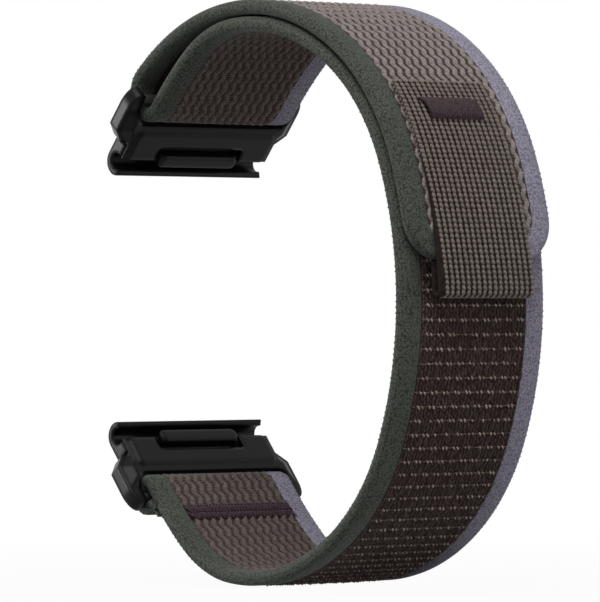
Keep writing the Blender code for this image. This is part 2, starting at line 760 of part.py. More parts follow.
def hook_jaw():
    """The channel for the lug pin, with the plate that closes the latch pocket."""
    channel = extrusion("channel", jaw_outline(), -JAW_WIDTH / 2, JAW_WIDTH / 2, "Y")
    plate_plan = rectangle(
        SLOT_EDGE + JAW_PLATE_START, CLAW_BACK + LAP, -JAW_PLATE_WIDTH / 2, JAW_PLATE_WIDTH / 2
    )
    plate = extrusion("plate", plate_plan, -DECK_BACK, JAW_PLATE_THICKNESS - DECK_BACK, "Z")
    window_plan = rectangle(
        CLAW_BACK - OVERRUN, CLAW_FACE + LAP, -WINDOW_HALF_WIDTH, WINDOW_HALF_WIDTH
    )
    window = extrusion("window", window_plan, POCKET_FLOOR, CLAW_HEIGHT + OVERRUN, "Z")
    cuts = [window]
    for name, side in SIDES.items():
        hole = [
            (RIVET_RADIUS + SEAT_GAP, -DECK_BACK - OVERRUN),
            (RIVET_RADIUS + SEAT_GAP, OVERRUN),
        ]
        sink = [
            (RIVET_HEAD_RADIUS + SEAT_GAP, -DECK_BACK - OVERRUN),
            (RIVET_HEAD_RADIUS + SEAT_GAP, RIVET_HEAD_HEIGHT - DECK_BACK),
        ]
        for kind, profile in (("hole", hole), ("sink", sink)):
            cutter = turned(f"jaw_{kind}_{name}", profile, RIVET_SEGMENTS)
            cuts.append(moved(cutter, SLOT_EDGE + RIVET_PLACE, side * RIVET_OFFSET, 0))
    return combined("hook_jaw", channel, [plate], cuts, EDGE_BEVEL)


def latch_slider():
    """The sprung slider: an eared plate with two spring bays, and the finger tab and tongue."""
    half_width = LATCH_WIDTH / 2
    block_plan = rectangle(LATCH_BLOCK_BACK, LATCH_FACE, -half_width, half_width)
    block = extrusion("block", block_plan, LATCH_FLOOR, DECK_TOP, "Z")
    right = [
        (LATCH_PLATE_BACK, half_width + LATCH_EAR),
        (EAR_FRONT, half_width + LATCH_EAR),
        (EAR_FRONT, half_width),
        (LATCH_BLOCK_BACK + LAP, half_width),
    ]
    plate_plan = right + [(x, -y) for x, y in reversed(right)]
    plate = extrusion("slider_plate", plate_plan, LATCH_FLOOR, LATCH_PLATE_TOP, "Z")
    tab = bevelled_pad(
        "finger_tab",
        LATCH_BLOCK_BACK - LAP / 2,
        LATCH_FACE + LATCH_TONGUE,
        half_width + LAP / 2,
        LATCH_CORNER,
        DECK_BASE,
        LATCH_HEIGHT,
        LATCH_BEVEL,
    )
    cuts = []
    for name, side in SIDES.items():
        low = side * SPRING_OFFSET - SPRING_BAY_HALF_WIDTH
        high = side * SPRING_OFFSET + SPRING_BAY_HALF_WIDTH
        bay_plan = rectangle(LATCH_PLATE_BACK - OVERRUN, SPRING_END + SPRING_END_GAP, low, high)
        cuts.append(
            extrusion(f"bay_{name}", bay_plan, LATCH_FLOOR - OVERRUN, LATCH_PLATE_TOP + SLIDE_GAP, "Z")
        )
    return combined("latch_slider", block, [plate, tab], cuts, 0)


def strap_bar():
    """The bar that the webbing goes round, with a thin tip in each arm."""
    shoulder = ARM_INNER - SEAT_GAP
    tip = ARM_INNER + BAR_TIP_LENGTH
    profile = [
        (BAR_TIP_RADIUS, -tip),
        (BAR_TIP_RADIUS, -shoulder),
        (BAR_RADIUS, -shoulder),
        (BAR_RADIUS, shoulder),
        (BAR_TIP_RADIUS, shoulder),
        (BAR_TIP_RADIUS, tip),
    ]
    return turned_y(turned("strap_bar", profile, BAR_SEGMENTS))


def jaw_rivet():
    profile = [
        (RIVET_HEAD_RADIUS, -DECK_BACK),
        (RIVET_HEAD_RADIUS, RIVET_HEAD_HEIGHT - SEAT_GAP / 2 - DECK_BACK),
        (RIVET_RADIUS, RIVET_HEAD_HEIGHT - SEAT_GAP / 2 - DECK_BACK),
        (RIVET_RADIUS, RIVET_DEPTH - DECK_BACK),
    ]
    return moved(turned("jaw_rivet", profile, RIVET_SEGMENTS), SLOT_EDGE + RIVET_PLACE, 0, 0)


def spring_points():
    """Centre line of one latch spring, along X."""
    count = SPRING_CURLS * SPRING_CURL_POINTS
    points = []
    for index in range(count + 1):
        angle = 2 * math.pi * index / SPRING_CURL_POINTS
        points.append(
            Vector((
                SPRING_START + SPRING_WIRE + (SPRING_LENGTH - 2 * SPRING_WIRE) * index / count,
                SPRING_RADIUS * math.cos(angle),
                SPRING_HEIGHT + SPRING_RADIUS * math.sin(angle),
            ))
        )
    return points


def spring_self_gap():
    """Least clear distance between neighbouring turns of a latch spring."""
    points = spring_points()
    apart = SPRING_CURL_POINTS // 2
    least = min(
        (points[b] - points[a]).length
        for a in range(len(points))
        for b in range(a + apart, len(points))
        if points[b].x - points[a].x > SPRING_WIRE * 4
    )
    return least - 2 * SPRING_WIRE


def latch_spring(name, shader, parent, place):
    curve = bpy.data.curves.new(name, "CURVE")
    curve.dimensions = "3D"
    curve.bevel_depth = SPRING_WIRE
    curve.bevel_resolution = 1
    curve.use_fill_caps = True
    points = spring_points()
    line = curve.splines.new("POLY")
    line.points.add(len(points) - 1)
    for knot, point in zip(line.points, points):
        knot.co = (*point, 1)
    spring = add_object(name, curve, shader, parent)
    spring.location = (0, place, 0)
    return spring


def connector_matrix(place, flip):
    """Where a connector's frame stands; the lower one is turned over."""
    x, z, _ = place
    toward_jaw = Vector((math.cos(CONNECTOR_HEADING), 0, math.sin(CONNECTOR_HEADING)))
    across = Vector((0, 1, 0))
    toward_wrist = toward_jaw.cross(across)
    rotation = Matrix((toward_jaw, across, toward_wrist)).transposed().to_4x4()
    upright = Matrix.Translation((x, 0, z)) @ rotation
    if flip:
        return Matrix.Rotation(math.pi, 4, "X") @ upright
    return upright


def build_connectors(black, steel, spring_steel):
    meshes = {
        "connector_frame": (connector_frame(), black),
        "hook_jaw": (hook_jaw(), black),
        "latch_slider": (latch_slider(), black),
        "strap_bar": (strap_bar(), steel),
    }
    rivet = jaw_rivet()
    for end, place, flip in (("upper", UPPER_BAR_PLACE, False), ("lower", LOWER_BAR_PLACE, True)):
        axis = pivot(f"{end}_connector_axis", None, connector_matrix(place, flip))
        for name, (mesh, shader) in meshes.items():
            piece_shader = shader.copy()
            piece_shader.name = f"{end}_{name}"
            add_object(f"{end}_{name}", mesh.copy(), piece_shader, axis)
        for name, side in SIDES.items():
            across = -side if flip else side
            rivet_object = add_object(f"{end}_jaw_rivet_{name}", rivet.copy(), steel, axis)
            rivet_object.location = (0, across * RIVET_OFFSET, 0)
            latch_spring(f"{end}_latch_spring_{name}", spring_steel, axis, across * SPRING_OFFSET)


def build_band(weave, tab, thread, hooks):
    lift = BINDING_THICKNESS / 2
    peel_gap = math.degrees(SEAT_GAP / 2 / TAIL_CROWN_RADIUS)
    peel = to_right(run_point(PEEL_START, -peel_gap, TAIL_CROWN_RADIUS, 1), -lift)
    bend = to_right(run_point(TAIL_START, peel_gap, -TAIL_CROWN_RADIUS, 1), -lift)
    tab_line = to_right(
        point_along(TAIL_START, TAIL_RUNS, TAB_BEND - SEAT_GAP / 2), -TAB_LIFT - TAB_PLY / 2
    )
    peel_axis = pivot("tail_bend_axis", (peel[0], 0, peel[1]))
    bend_axis = pivot("tail_end_axis", (bend[0], 0, bend[1]), parent=peel_axis)
    tab_axis = pivot("pull_tab_axis", (tab_line[0], 0, tab_line[1]), parent=bend_axis)
    add_piece("band_loop", band_loop(), weave)
    add_piece("seam_stitches", seam_stitches(), thread)
    add_piece("tail_bend", tail_bend(), weave.copy(), peel_axis)
    add_piece("tail_end", tail_end(), weave.copy(), bend_axis)
    add_piece("hook_patch", hook_patch(), hooks, bend_axis)
    add_piece("pull_tab_root", pull_tab_root(), tab, bend_axis)
    add_piece("tab_bar_tack", tab_bar_tack(), thread.copy(), bend_axis)
    add_piece("pull_tab", pull_tab(), tab.copy(), tab_axis)


def main():
    for thing in list(bpy.data.objects):
        bpy.data.objects.remove(thing)
    weave = material("band_weave", (0.100, 0.072, 0.062), 0.85)
    tab = material("tab_weave", (0.120, 0.092, 0.070), 0.85)
    thread = material("stitch_thread", (0.065, 0.043, 0.050), 0.70)
    hooks = material("hook_patch", (0.030, 0.024, 0.020), 0.75)
    black = material("black_metal", (0.012, 0.012, 0.013), 0.42, 0.9)
    steel = material("bar_steel", (0.35, 0.35, 0.36), 0.35, 1.0)
    spring_steel = material("spring_steel", (0.45, 0.45, 0.46), 0.30, 1.0)
    build_band(weave, tab, thread, hooks)
    build_connectors(black, steel, spring_steel)
    print(f"latch spring: least gap between turns {spring_self_gap() * 1000:.2f} mm")


main()
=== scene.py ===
"""Looks of the hook-and-loop watch strap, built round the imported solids.

Lengths are in metres. The band is one strip of webbing. Its route runs from the sewn
fold-back at the lower connector, round the loop and over the upper bar, to the tail's
end. Face A, on the left of the route, is the cord weave; face B is the loop pile.
"""

import json
import math

import bpy
import numpy as np
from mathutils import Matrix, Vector


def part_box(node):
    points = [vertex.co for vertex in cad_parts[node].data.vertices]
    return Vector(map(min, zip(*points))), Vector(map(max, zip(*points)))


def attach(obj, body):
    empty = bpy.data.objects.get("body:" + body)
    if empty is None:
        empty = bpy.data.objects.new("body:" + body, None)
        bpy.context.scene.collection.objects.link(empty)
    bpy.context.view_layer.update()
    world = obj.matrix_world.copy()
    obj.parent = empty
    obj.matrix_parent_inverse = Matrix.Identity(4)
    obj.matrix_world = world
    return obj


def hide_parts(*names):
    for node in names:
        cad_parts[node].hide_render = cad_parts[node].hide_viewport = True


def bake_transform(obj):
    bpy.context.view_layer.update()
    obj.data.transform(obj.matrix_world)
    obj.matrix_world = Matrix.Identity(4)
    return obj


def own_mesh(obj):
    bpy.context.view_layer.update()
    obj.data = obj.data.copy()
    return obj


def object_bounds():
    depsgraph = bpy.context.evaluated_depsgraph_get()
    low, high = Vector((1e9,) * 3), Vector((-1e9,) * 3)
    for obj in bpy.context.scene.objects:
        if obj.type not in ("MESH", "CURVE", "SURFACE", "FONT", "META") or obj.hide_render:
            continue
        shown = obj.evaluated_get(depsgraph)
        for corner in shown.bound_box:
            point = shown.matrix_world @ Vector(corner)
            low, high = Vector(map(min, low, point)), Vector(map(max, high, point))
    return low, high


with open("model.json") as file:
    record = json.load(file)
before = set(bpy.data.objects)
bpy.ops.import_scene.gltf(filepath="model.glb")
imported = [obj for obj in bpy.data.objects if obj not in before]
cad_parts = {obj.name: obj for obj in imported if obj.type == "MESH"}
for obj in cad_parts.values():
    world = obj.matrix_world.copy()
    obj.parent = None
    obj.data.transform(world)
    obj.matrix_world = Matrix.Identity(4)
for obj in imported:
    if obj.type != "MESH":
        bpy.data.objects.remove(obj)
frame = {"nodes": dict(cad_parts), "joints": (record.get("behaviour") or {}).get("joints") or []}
cad_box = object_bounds()

MM = 0.001

# Band webbing
BAND_WIDTH = 25.4 * MM
BINDING_THICKNESS = 2.0 * MM
BINDING_WIDTH = 3.0 * MM
BINDING_RAMP = 0.4 * MM
CORE_THICKNESS = 1.6 * MM
SEAT_GAP = 0.3 * MM
LAYER_PITCH = BINDING_THICKNESS + SEAT_GAP
WRAP_RADIUS = 2.5 * MM
LOOP_REACH = 28.4 * MM
FACE_WIDTH = BAND_WIDTH - 2 * (BINDING_WIDTH + BINDING_RAMP)
A_SIDE = -1
B_SIDE = 1

# Half of the loop: (sweep in degrees, radius)
HALF_LOOP = (
    (22, 50.0 * MM),
    (33, 29.6 * MM),
    (40, 32.6 * MM),
    (35, 17.7 * MM),
    (10, 55.0 * MM),
)
CROWN_RADIUS = HALF_LOOP[2][1]
TAIL_CROWN_RADIUS = CROWN_RADIUS + LAYER_PITCH
TAIL_PEEL_SWEEP = 20
TAIL_LENGTH = 33.0 * MM
TAIL_CORNER = 5.5 * MM
BINDING_END_REACH = 1.2 * MM

# Fold-back round the lower bar, thinned there, skived to its end and sewn down flat
BAR_RADIUS = 0.7 * MM
FOLD_LEAD = 0.8 * MM
FOLD_THINNING = 5.0 * MM
FOLD_THICKNESS = 1.7 * MM
FOLD_END_THICKNESS = 0.14 * MM
FOLD_END_GAP = 0.05 * MM
FOLD_REACH = 2.15 * MM
FOLD_TURN_RADIUS = 1.2 * MM
FOLD_DROP = 0.3 * MM
FOLD_UNDER_RADIUS = 2.15 * MM
FOLD_DIP = 74
FOLD_RISE_RADIUS = 1.0 * MM
FOLD_TAIL = 0.8 * MM

# Padding between the band and its fold-back, from the bar on: (distance, lift, thickness)
FOLD_PADDING = (
    (0.1 * MM, 1.8 * MM, 2.0 * MM),
    (0.8 * MM, 1.6 * MM, 1.7 * MM),
    (1.2 * MM, 1.2 * MM, 0.9 * MM),
    (1.9 * MM, 0.95 * MM, 0.3 * MM),
)

# Pull tab, from the line where the tail's end bends
TAB_WIDTH = 15.7 * MM
TAB_COLUMNS = 17
TAB_LEAN = -1.25 * MM
TAB_SWING = 1.2 * MM
# Widest near selvedge, a strip of dark tab ground: partly the cloth's edge, partly painted shade along the
# tab's near side.
TAB_SHADED_SELVEDGE = 1.15 * MM
TAB_PLY = 0.9 * MM
TAB_CLOTH = TAB_PLY * 0.62
TAB_TOP = 8.45 * MM
TAB_BEND = 15.7 * MM
TAB_BEND_REACH = 1.6 * MM
TAB_OVERHANG = 4.1 * MM
TAB_LIFT = CORE_THICKNESS / 2 + SEAT_GAP + TAB_PLY / 2
TACK_START = 11.25 * MM
TACK_LENGTH = 3.0 * MM
TACK_WIDTH = 9.8 * MM
TACK_ACROSS = -1.4 * MM
HOOK_LENGTH = 21.5 * MM
HOOK_OVERHANG = 4.2 * MM
HOOK_THICKNESS = 0.8 * MM
HOOK_TAPE_THICKNESS = HOOK_THICKNESS - 0.3 * MM
HOOK_DROP = LAYER_PITCH - CORE_THICKNESS / 2 - SEAT_GAP - HOOK_THICKNESS / 2
TAB_BACK_LIFT = TAB_PLY / 2 + SEAT_GAP + HOOK_THICKNESS / 2 - HOOK_DROP
SEAM_START = 3.0 * MM

# Rows of the seam, from the connector on: (length, slant)
SEAM_ROWS = ((0.35 * MM, 0.0), (1.15 * MM, 0.8), (1.15 * MM, 0.8))

# Cord weave, loop pile and bindings
CORD_COUNT = 13
CORD_PITCH = FACE_WIDTH / CORD_COUNT
WAVE_LENGTH = 2.1 * MM
PILE_ROW_PITCH = 1.925 * MM
PILE_ROW_START = 74.65 * MM
PILE_ROWS = 79
PILE_FROM_LOWER_BAR = 4.0 * MM
PILE_TO_UPPER_BAR = 2.0 * MM
PILE_HOOK_GAP = 1.0 * MM
CORDS_PAST_BAR = 2.0 * MM
CORDS_END_GAP = 0.6 * MM

# Cutting a line by length makes one piece more than fits, so rows are set a little further apart
ROW_STRETCH = 1.005

# How far round a joint the webbing bends
BEND_BEFORE = 1.5 * MM
BEND_AFTER = 3.5 * MM

# Latch springs: wire radius, coil radius and turns
SPRING_WIRE = 0.09 * MM
SPRING_RADIUS = 0.36 * MM
SPRING_CURLS = 6

# The photograph's view
IMAGE_WIDTH = 600
IMAGE_HEIGHT = 602
VIEW_AZIMUTH = 50
ORIGIN_PIXEL_X = 333
FOCAL_PIXELS = 5500
PIXELS_PER_METRE = 7300
SENSOR_WIDTH = 36

# Studio light: (name, azimuth, elevation, size, level)
ROOM_LEVEL = 0.10
LAMP_DISTANCE = 1.2
LAMPS = (
    ("top", 30, 62, 0.9, 1.0),
    ("front", 60, 12, 0.9, 0.14),
    ("left", -50, 4, 0.38, 0.50),
    ("right", 118, 2, 0.9, 0.34),
)


def from_srgb(*levels):
    """A colour written in 0 to 255, as the shader wants it."""
    shares = [level / 255 for level in levels]
    return tuple(s / 12.92 if s <= 0.04045 else ((s + 0.055) / 1.055) ** 2.4 for s in shares)


# Route of the strip

def run_point(station, sweep, size, part):
    """Station (x, z, heading) a part of the way along a run; left turns are positive."""
    x, z, heading = station
    if sweep == 0:
        reach = size * part
        return (x + reach * math.cos(heading), z + reach * math.sin(heading), heading)
    radius = math.copysign(size, sweep)
    angle = heading + math.radians(sweep) * part
    return (
        x + radius * (math.sin(angle) - math.sin(heading)),
        z - radius * (math.cos(angle) - math.cos(heading)),
        angle,
    )


def run_length(sweep, size):
    return size * math.radians(abs(sweep)) if sweep else size


def follow(station, runs, spacing=0.2 * MM):
    """Closely spaced stations from one place along tangent runs."""
    stations = [station]
    for sweep, size in runs:
        start = stations[-1]
        steps = max(1, math.ceil(run_length(sweep, size) / spacing))
        stations += [run_point(start, sweep, size, step / steps) for step in range(1, steps + 1)]
    return stations


def to_right(station, distance):
    x, z, heading = station
    return (x + distance * math.sin(heading), z - distance * math.cos(heading), heading)


def mirrored(stations):
    """The same stations below the XY plane, walked the other way."""
    return [(x, -z, math.pi - heading) for x, z, heading in reversed(stations)]


def merging_turn(station, centre, radius):
    """Sweep and radius of the right turn that runs into a circle from inside."""
    x, z, heading = station
    offset = Vector((x, z)) - centre
    right = Vector((math.sin(heading), -math.cos(heading)))
    size = (radius ** 2 - offset.length_squared) / (2 * right.dot(offset) + 2 * radius)
    towards = offset + right * size
    end_heading = math.atan2(towards.y, towards.x) - math.pi / 2
    return math.degrees(end_heading - heading), size


class Route:
    """The strip's centre line, with the distance along it at each station."""

    def __init__(self, stations):
        places = np.array(stations)
        steps = np.hypot(*np.diff(places[:, :2], axis=0).T)
        keep = np.concatenate(([True], steps > 1e-7))
        places = places[keep]
        steps = np.hypot(*np.diff(places[:, :2], axis=0).T)
        self.along = np.concatenate(([0], np.cumsum(steps)))
        self.x, self.z = places[:, 0], places[:, 1]
        self.heading = np.unwrap(places[:, 2])
        self.length = self.along[-1]

    def at(self, distance):
        """Station at a distance, straight on past either end."""
        inside = min(max(distance, 0), self.length)
        x, z, heading = (np.interp(inside, self.along, row) for row in (self.x, self.z, self.heading))
        return run_point((x, z, heading), 0, distance - inside, 1)


def fold_back_runs():
    """Close past the slot's edge, under the lower bar and up onto the layer it came from."""
    dip = math.radians(FOLD_DIP)
    height = BAR_RADIUS + SEAT_GAP + FOLD_THICKNESS / 2
    bottom = height - FOLD_TURN_RADIUS - FOLD_DROP - FOLD_UNDER_RADIUS * math.cos(dip)
    top = height - (BINDING_THICKNESS + FOLD_END_THICKNESS) / 2 - FOLD_END_GAP
    rise = top - bottom - FOLD_RISE_RADIUS * (1 - math.cos(dip))
    return (
        (0, FOLD_LEAD + FOLD_REACH - FOLD_TURN_RADIUS),
        (-90, FOLD_TURN_RADIUS),
        (0, FOLD_DROP),
        (-90 - FOLD_DIP, FOLD_UNDER_RADIUS),
        (0, rise / math.sin(dip)),
        (FOLD_DIP, FOLD_RISE_RADIUS),
        (0, FOLD_TAIL),
    )


def band_route():
    """The whole strip, and the distances of its named places."""
    upper = follow((LOOP_REACH, 0, math.pi / 2), HALF_LOOP)
    entry = upper[-1]
    crown_start = follow(upper[0], HALF_LOOP[:2])[-1]
    x, z, _ = to_right(crown_start, -CROWN_RADIUS)
    fold = follow(entry, fold_back_runs())
    over_bar = run_point(entry, -90, WRAP_RADIUS, 1)
    sweep, size = merging_turn(over_bar, Vector((x, z)), TAIL_CROWN_RADIUS)
    heading = math.degrees(over_bar[2]) + sweep
    crown_end = math.degrees(crown_start[2]) - 180 + TAIL_PEEL_SWEEP
    crown_sweep = (crown_end - heading + 180) % 360 - 180
    wrap = follow(entry, ((-90, WRAP_RADIUS), (sweep, size), (crown_sweep, TAIL_CROWN_RADIUS)))
    peel = follow(wrap[-1], ((-TAIL_PEEL_SWEEP, TAIL_CROWN_RADIUS),))
    side, shoulder = HALF_LOOP[0], HALF_LOOP[1]
    tail = follow(peel[-1], (
        (-shoulder[0], shoulder[1] + LAYER_PITCH),
        (-side[0], side[1] + LAYER_PITCH),
    ))
    stretches = (mirrored(fold), mirrored(upper), upper, wrap, peel, tail)
    places = {}
    stations = []
    for name, stretch in zip(("fold_end", "lower_bar", "side", "upper_bar", "peel", "tail"), stretches):
        places[name] = Route(stations + stretch[:1]).length if stations else 0
        stations += stretch
    return Route(stations), places


ROUTE, PLACE = band_route()
TAIL_END = PLACE["tail"] + TAIL_LENGTH
BEND_MIDDLE = (PLACE["peel"] + PLACE["tail"]) / 2
PEEL_SEAM = PLACE["peel"] - 2 * BEND_BEFORE
FOLD_MARKS = np.cumsum([run_length(*run) for run in fold_back_runs()])
FOLD_UNDER = PLACE["lower_bar"] - FOLD_MARKS[3]


def strip_thickness(distance):
    """The strip's thickness at its edges, thinned round the lower bar."""
    under = (FOLD_MARKS[2] + FOLD_MARKS[3]) / 2
    marks = (FOLD_LEAD - FOLD_THINNING, FOLD_LEAD, under, FOLD_MARKS[5])
    sizes = (BINDING_THICKNESS, FOLD_THICKNESS, FOLD_THICKNESS, FOLD_END_THICKNESS)
    return float(np.interp(PLACE["lower_bar"] - distance, marks, sizes))


def core_half(distance):
    """Half the thickness of the cloth between the bindings."""
    return CORE_THICKNESS / 2 * strip_thickness(distance) / BINDING_THICKNESS


# Node helpers, for geometry and for finishes

def put(tree, value, socket):
    """Feed a socket from a link or a plain value."""
    if isinstance(value, bpy.types.NodeSocket):
        tree.links.new(value, socket)
    else:
        socket.default_value = value


def add_node(tree, kind, inputs=(), **settings):
    node = tree.nodes.new(kind)
    for name, value in settings.items():
        setattr(node, name, value)
    for key, value in dict(inputs).items():
        put(tree, value, node.inputs[key])
    return node


class Nodes:
    """Short names for adding nodes to a tree."""

    def add(self, kind, inputs=(), output=0, **settings):
        return add_node(self.tree, kind, inputs, **settings).outputs[output]

    def maths(self, operation, a, b=0.0):
        return self.add("ShaderNodeMath", {0: a, 1: b}, operation=operation)

    def plus(self, a, b):
        return self.maths("ADD", a, b)

    def minus(self, a, b):
        return self.maths("SUBTRACT", a, b)

    def times(self, a, b):
        return self.maths("MULTIPLY", a, b)

    def over(self, a, b):
        return self.maths("DIVIDE", a, b)


class Tree(Nodes):
    """A geometry tree with named inputs. An input that isn't given is zero."""

    kinds = {"size": "Float", "count": "Int", "finish": "Material"}

    def __init__(self, name, **inputs):
        self.tree = bpy.data.node_groups.new(name, "GeometryNodeTree")
        faces = self.tree.interface
        faces.new_socket("Geometry", in_out="INPUT", socket_type="NodeSocketGeometry")
        faces.new_socket("Geometry", in_out="OUTPUT", socket_type="NodeSocketGeometry")
        for label, kind in inputs.items():
            socket_type = f"NodeSocket{self.kinds[kind]}"
            faces.new_socket(label, in_out="INPUT", socket_type=socket_type)
        self.entry = self.tree.nodes.new("NodeGroupInput")
        self.exit = self.tree.nodes.new("NodeGroupOutput")

    def given(self, name):
        return self.entry.outputs[name]

    def vector_sum(self, a, b):
        return self.add("ShaderNodeVectorMath", {0: a, 1: b}, operation="ADD")

    def scaled(self, vector, factor):
        return self.add("ShaderNodeVectorMath", {0: vector, "Scale": factor}, operation="SCALE")

    def attribute(self, name, kind="FLOAT"):
        return self.add("GeometryNodeInputNamedAttribute", {"Name": name}, data_type=kind)

    def stored(self, geometry, name, value, domain="POINT"):
        return self.add(
            "GeometryNodeStoreNamedAttribute", {0: geometry, "Name": name, "Value": value},
            domain=domain, data_type="FLOAT",
        )

    def copies(self, count, spacing):
        """The given line cut at a spacing and copied, and the number of each copy."""
        line = self.add("GeometryNodeMeshToCurve", {0: self.given("Geometry")})
        line = self.add("GeometryNodeResampleCurve", {0: line, "Length": self.given(spacing)}, mode="LENGTH")
        inputs = {0: line, "Amount": self.given(count)}
        return add_node(self.tree, "GeometryNodeDuplicateElements", inputs, domain="SPLINE").outputs

    def place_across(self, number, count):
        """Where a copy lies across the line's middle, at its pitch."""
        middle = self.times(self.minus(self.given(count), 1.0), 0.5)
        return self.times(self.minus(number, middle), self.given("pitch"))

    def finish(self, geometry):
        geometry = self.add("GeometryNodeRealizeInstances", {0: geometry})
        geometry = self.add("GeometryNodeSetShadeSmooth", {0: geometry})
        geometry = self.add("GeometryNodeSetMaterial", {0: geometry, "Material": self.given("finish")})
        put(self.tree, geometry, self.exit.inputs[0])
        return self.tree


def cords_tree():
    """Cords side by side along a line, each in even waves."""
    t = Tree(
        "cords", cords="count", pitch="size", wave_length="size", wave_width="size",
        wave_height="size", radius="size", sink="size", drift="size", slant="size",
        step="size", sides="count", finish="finish",
    )
    lines, cord = t.copies("cords", "step")
    along = t.attribute("along")
    turn = t.plus(t.over(along, t.given("wave_length")), t.times(cord, t.given("drift")))
    phase = t.times(turn, 2 * math.pi)
    across = t.place_across(cord, "cords")
    across = t.plus(across, t.times(t.maths("COSINE", phase), t.given("wave_width")))
    across = t.plus(across, t.times(along, t.given("slant")))
    lift = t.minus(t.times(t.maths("SINE", phase), t.given("wave_height")), t.given("sink"))
    offset = t.vector_sum(
        t.scaled(t.attribute("facing", "FLOAT_VECTOR"), lift), t.scaled((0.0, 1.0, 0.0), across)
    )
    moved = t.add("GeometryNodeSetPosition", {0: lines, "Offset": offset})
    ring = t.add(
        "GeometryNodeCurvePrimitiveCircle", {"Resolution": t.given("sides"), "Radius": t.given("radius")},
        mode="RADIUS",
    )
    ring = t.stored(ring, "around", t.add("GeometryNodeSplineParameter"))
    return t.finish(t.add("GeometryNodeCurveToMesh", {0: moved, "Profile Curve": ring, "Fill Caps": True}))


def grains_tree():
    """Short grains of thread set in rows over a face, such as floats, loops and stitches."""
    t = Tree(
        "grains", columns="count", pitch="size", row_pitch="size", stagger="size",
        length="size", width="size", height="size", tilt="size", tilt_change="size",
        lean="size", scatter="size", size_spread="size", missing="size", lift="size",
        skip="size", seed="count", finish="finish",
    )

    def random(low, high, salt):
        seed = t.plus(t.given("seed"), salt)
        return t.add("FunctionNodeRandomValue", {2: low, 3: high, "Seed": seed}, output=1, data_type="FLOAT")

    def varied(name, salt):
        """A random share of an input, either way."""
        return t.times(random(-1.0, 1.0, salt), t.given(name))

    lines, column = t.copies("columns", "row_pitch")
    odd = t.maths("MODULO", column, 2.0)
    across = t.plus(t.place_across(column, "columns"), varied("scatter", 1))
    shift = t.plus(t.times(odd, t.given("stagger")), varied("scatter", 2))
    facing = t.attribute("facing", "FLOAT_VECTOR")
    tangent = t.add("GeometryNodeInputTangent")
    offset = t.vector_sum(t.scaled(tangent, shift), t.scaled((0.0, 1.0, 0.0), across))
    offset = t.vector_sum(offset, t.scaled(facing, t.given("lift")))
    moved = t.add("GeometryNodeSetPosition", {0: lines, "Offset": offset})
    grain = t.add("GeometryNodeMeshUVSphere", {"Segments": 6, "Rings": 5, "Radius": 0.5})
    turned = t.add(
        "FunctionNodeAxesToRotation", {"Primary Axis": facing, "Secondary Axis": tangent},
        primary_axis="Z", secondary_axis="X",
    )
    swing = t.times(t.minus(t.times(odd, 2.0), 1.0), t.given("tilt_change"))
    swing = t.plus(t.plus(swing, t.given("tilt")), varied("lean", 3))
    spin = t.add("FunctionNodeAxisAngleToRotation", {"Axis": (0.0, 0.0, 1.0), "Angle": swing})
    turned = t.add(
        "FunctionNodeRotateRotation", {"Rotation": turned, "Rotate By": spin}, rotation_space="LOCAL"
    )
    size = t.add("ShaderNodeCombineXYZ", {0: t.given("length"), 1: t.given("width"), 2: t.given("height")})
    size = t.scaled(size, t.plus(1.0, varied("size_spread", 4)))
    kept = t.maths("GREATER_THAN", random(0.0, 1.0, 5), t.given("missing"))
    gap = t.maths("MODULO", column, t.maths("MAXIMUM", t.given("skip"), 1.0))
    skips = t.maths("GREATER_THAN", t.given("skip"), 1.5)
    in_gap = t.times(t.maths("LESS_THAN", gap, 0.5), skips)
    kept = t.times(kept, t.minus(1.0, in_gap))
    grains = t.add(
        "GeometryNodeInstanceOnPoints",
        {0: moved, "Selection": kept, "Instance": grain, "Rotation": turned, "Scale": size},
    )
    return t.finish(t.stored(grains, "tone", random(0.0, 1.0, 6), "INSTANCE"))


# Finishes, their colours written in 0 to 255

class Finish(Nodes):
    """A material whose colour, bump and roughness come from nodes."""

    def __init__(self, name, roughness, metallic=0.0, sheen=0.0, specular=0.5):
        self.material = bpy.data.materials.new(name)
        self.material.use_nodes = True
        self.tree = self.material.node_tree
        self.shader = self.tree.nodes["Principled BSDF"]
        self.shader.inputs["Roughness"].default_value = roughness
        self.shader.inputs["Metallic"].default_value = metallic
        self.shader.inputs["Sheen Weight"].default_value = sheen
        self.shader.inputs["Sheen Roughness"].default_value = 0.5
        self.shader.inputs["Specular IOR Level"].default_value = specular

    def attribute(self, name):
        return self.add("ShaderNodeAttribute", output="Fac", attribute_name=name)

    def place(self):
        return self.add("ShaderNodeTexCoord", output="Object")

    def noise(self, scale, detail=2.0):
        return self.add("ShaderNodeTexNoise", {"Vector": self.place(), "Scale": scale, "Detail": detail})

    def blended(self, a, b, share):
        """Both values, with a given share of the second."""
        return self.plus(self.times(a, 1 - share), self.times(b, share))

    def range(self, value, low, high):
        return self.add("ShaderNodeMapRange", {"Value": value, "To Min": low, "To Max": high})

    def shade(self, value, dark, light, low=0.3, high=0.7):
        """Colour it from dark to light while a value goes from low to high."""
        node = add_node(self.tree, "ShaderNodeValToRGB", {0: value})
        for mark, position, colour in zip(node.color_ramp.elements, (low, high), (dark, light)):
            mark.position = position
            mark.color = (*from_srgb(*colour), 1)
        put(self.tree, node.outputs[0], self.shader.inputs["Base Color"])

    def bump(self, height, distance, strength, normal=None):
        inputs = {"Height": height, "Distance": distance, "Strength": strength}
        if normal:
            inputs["Normal"] = normal
        put(self.tree, self.add("ShaderNodeBump", inputs), self.shader.inputs["Normal"])


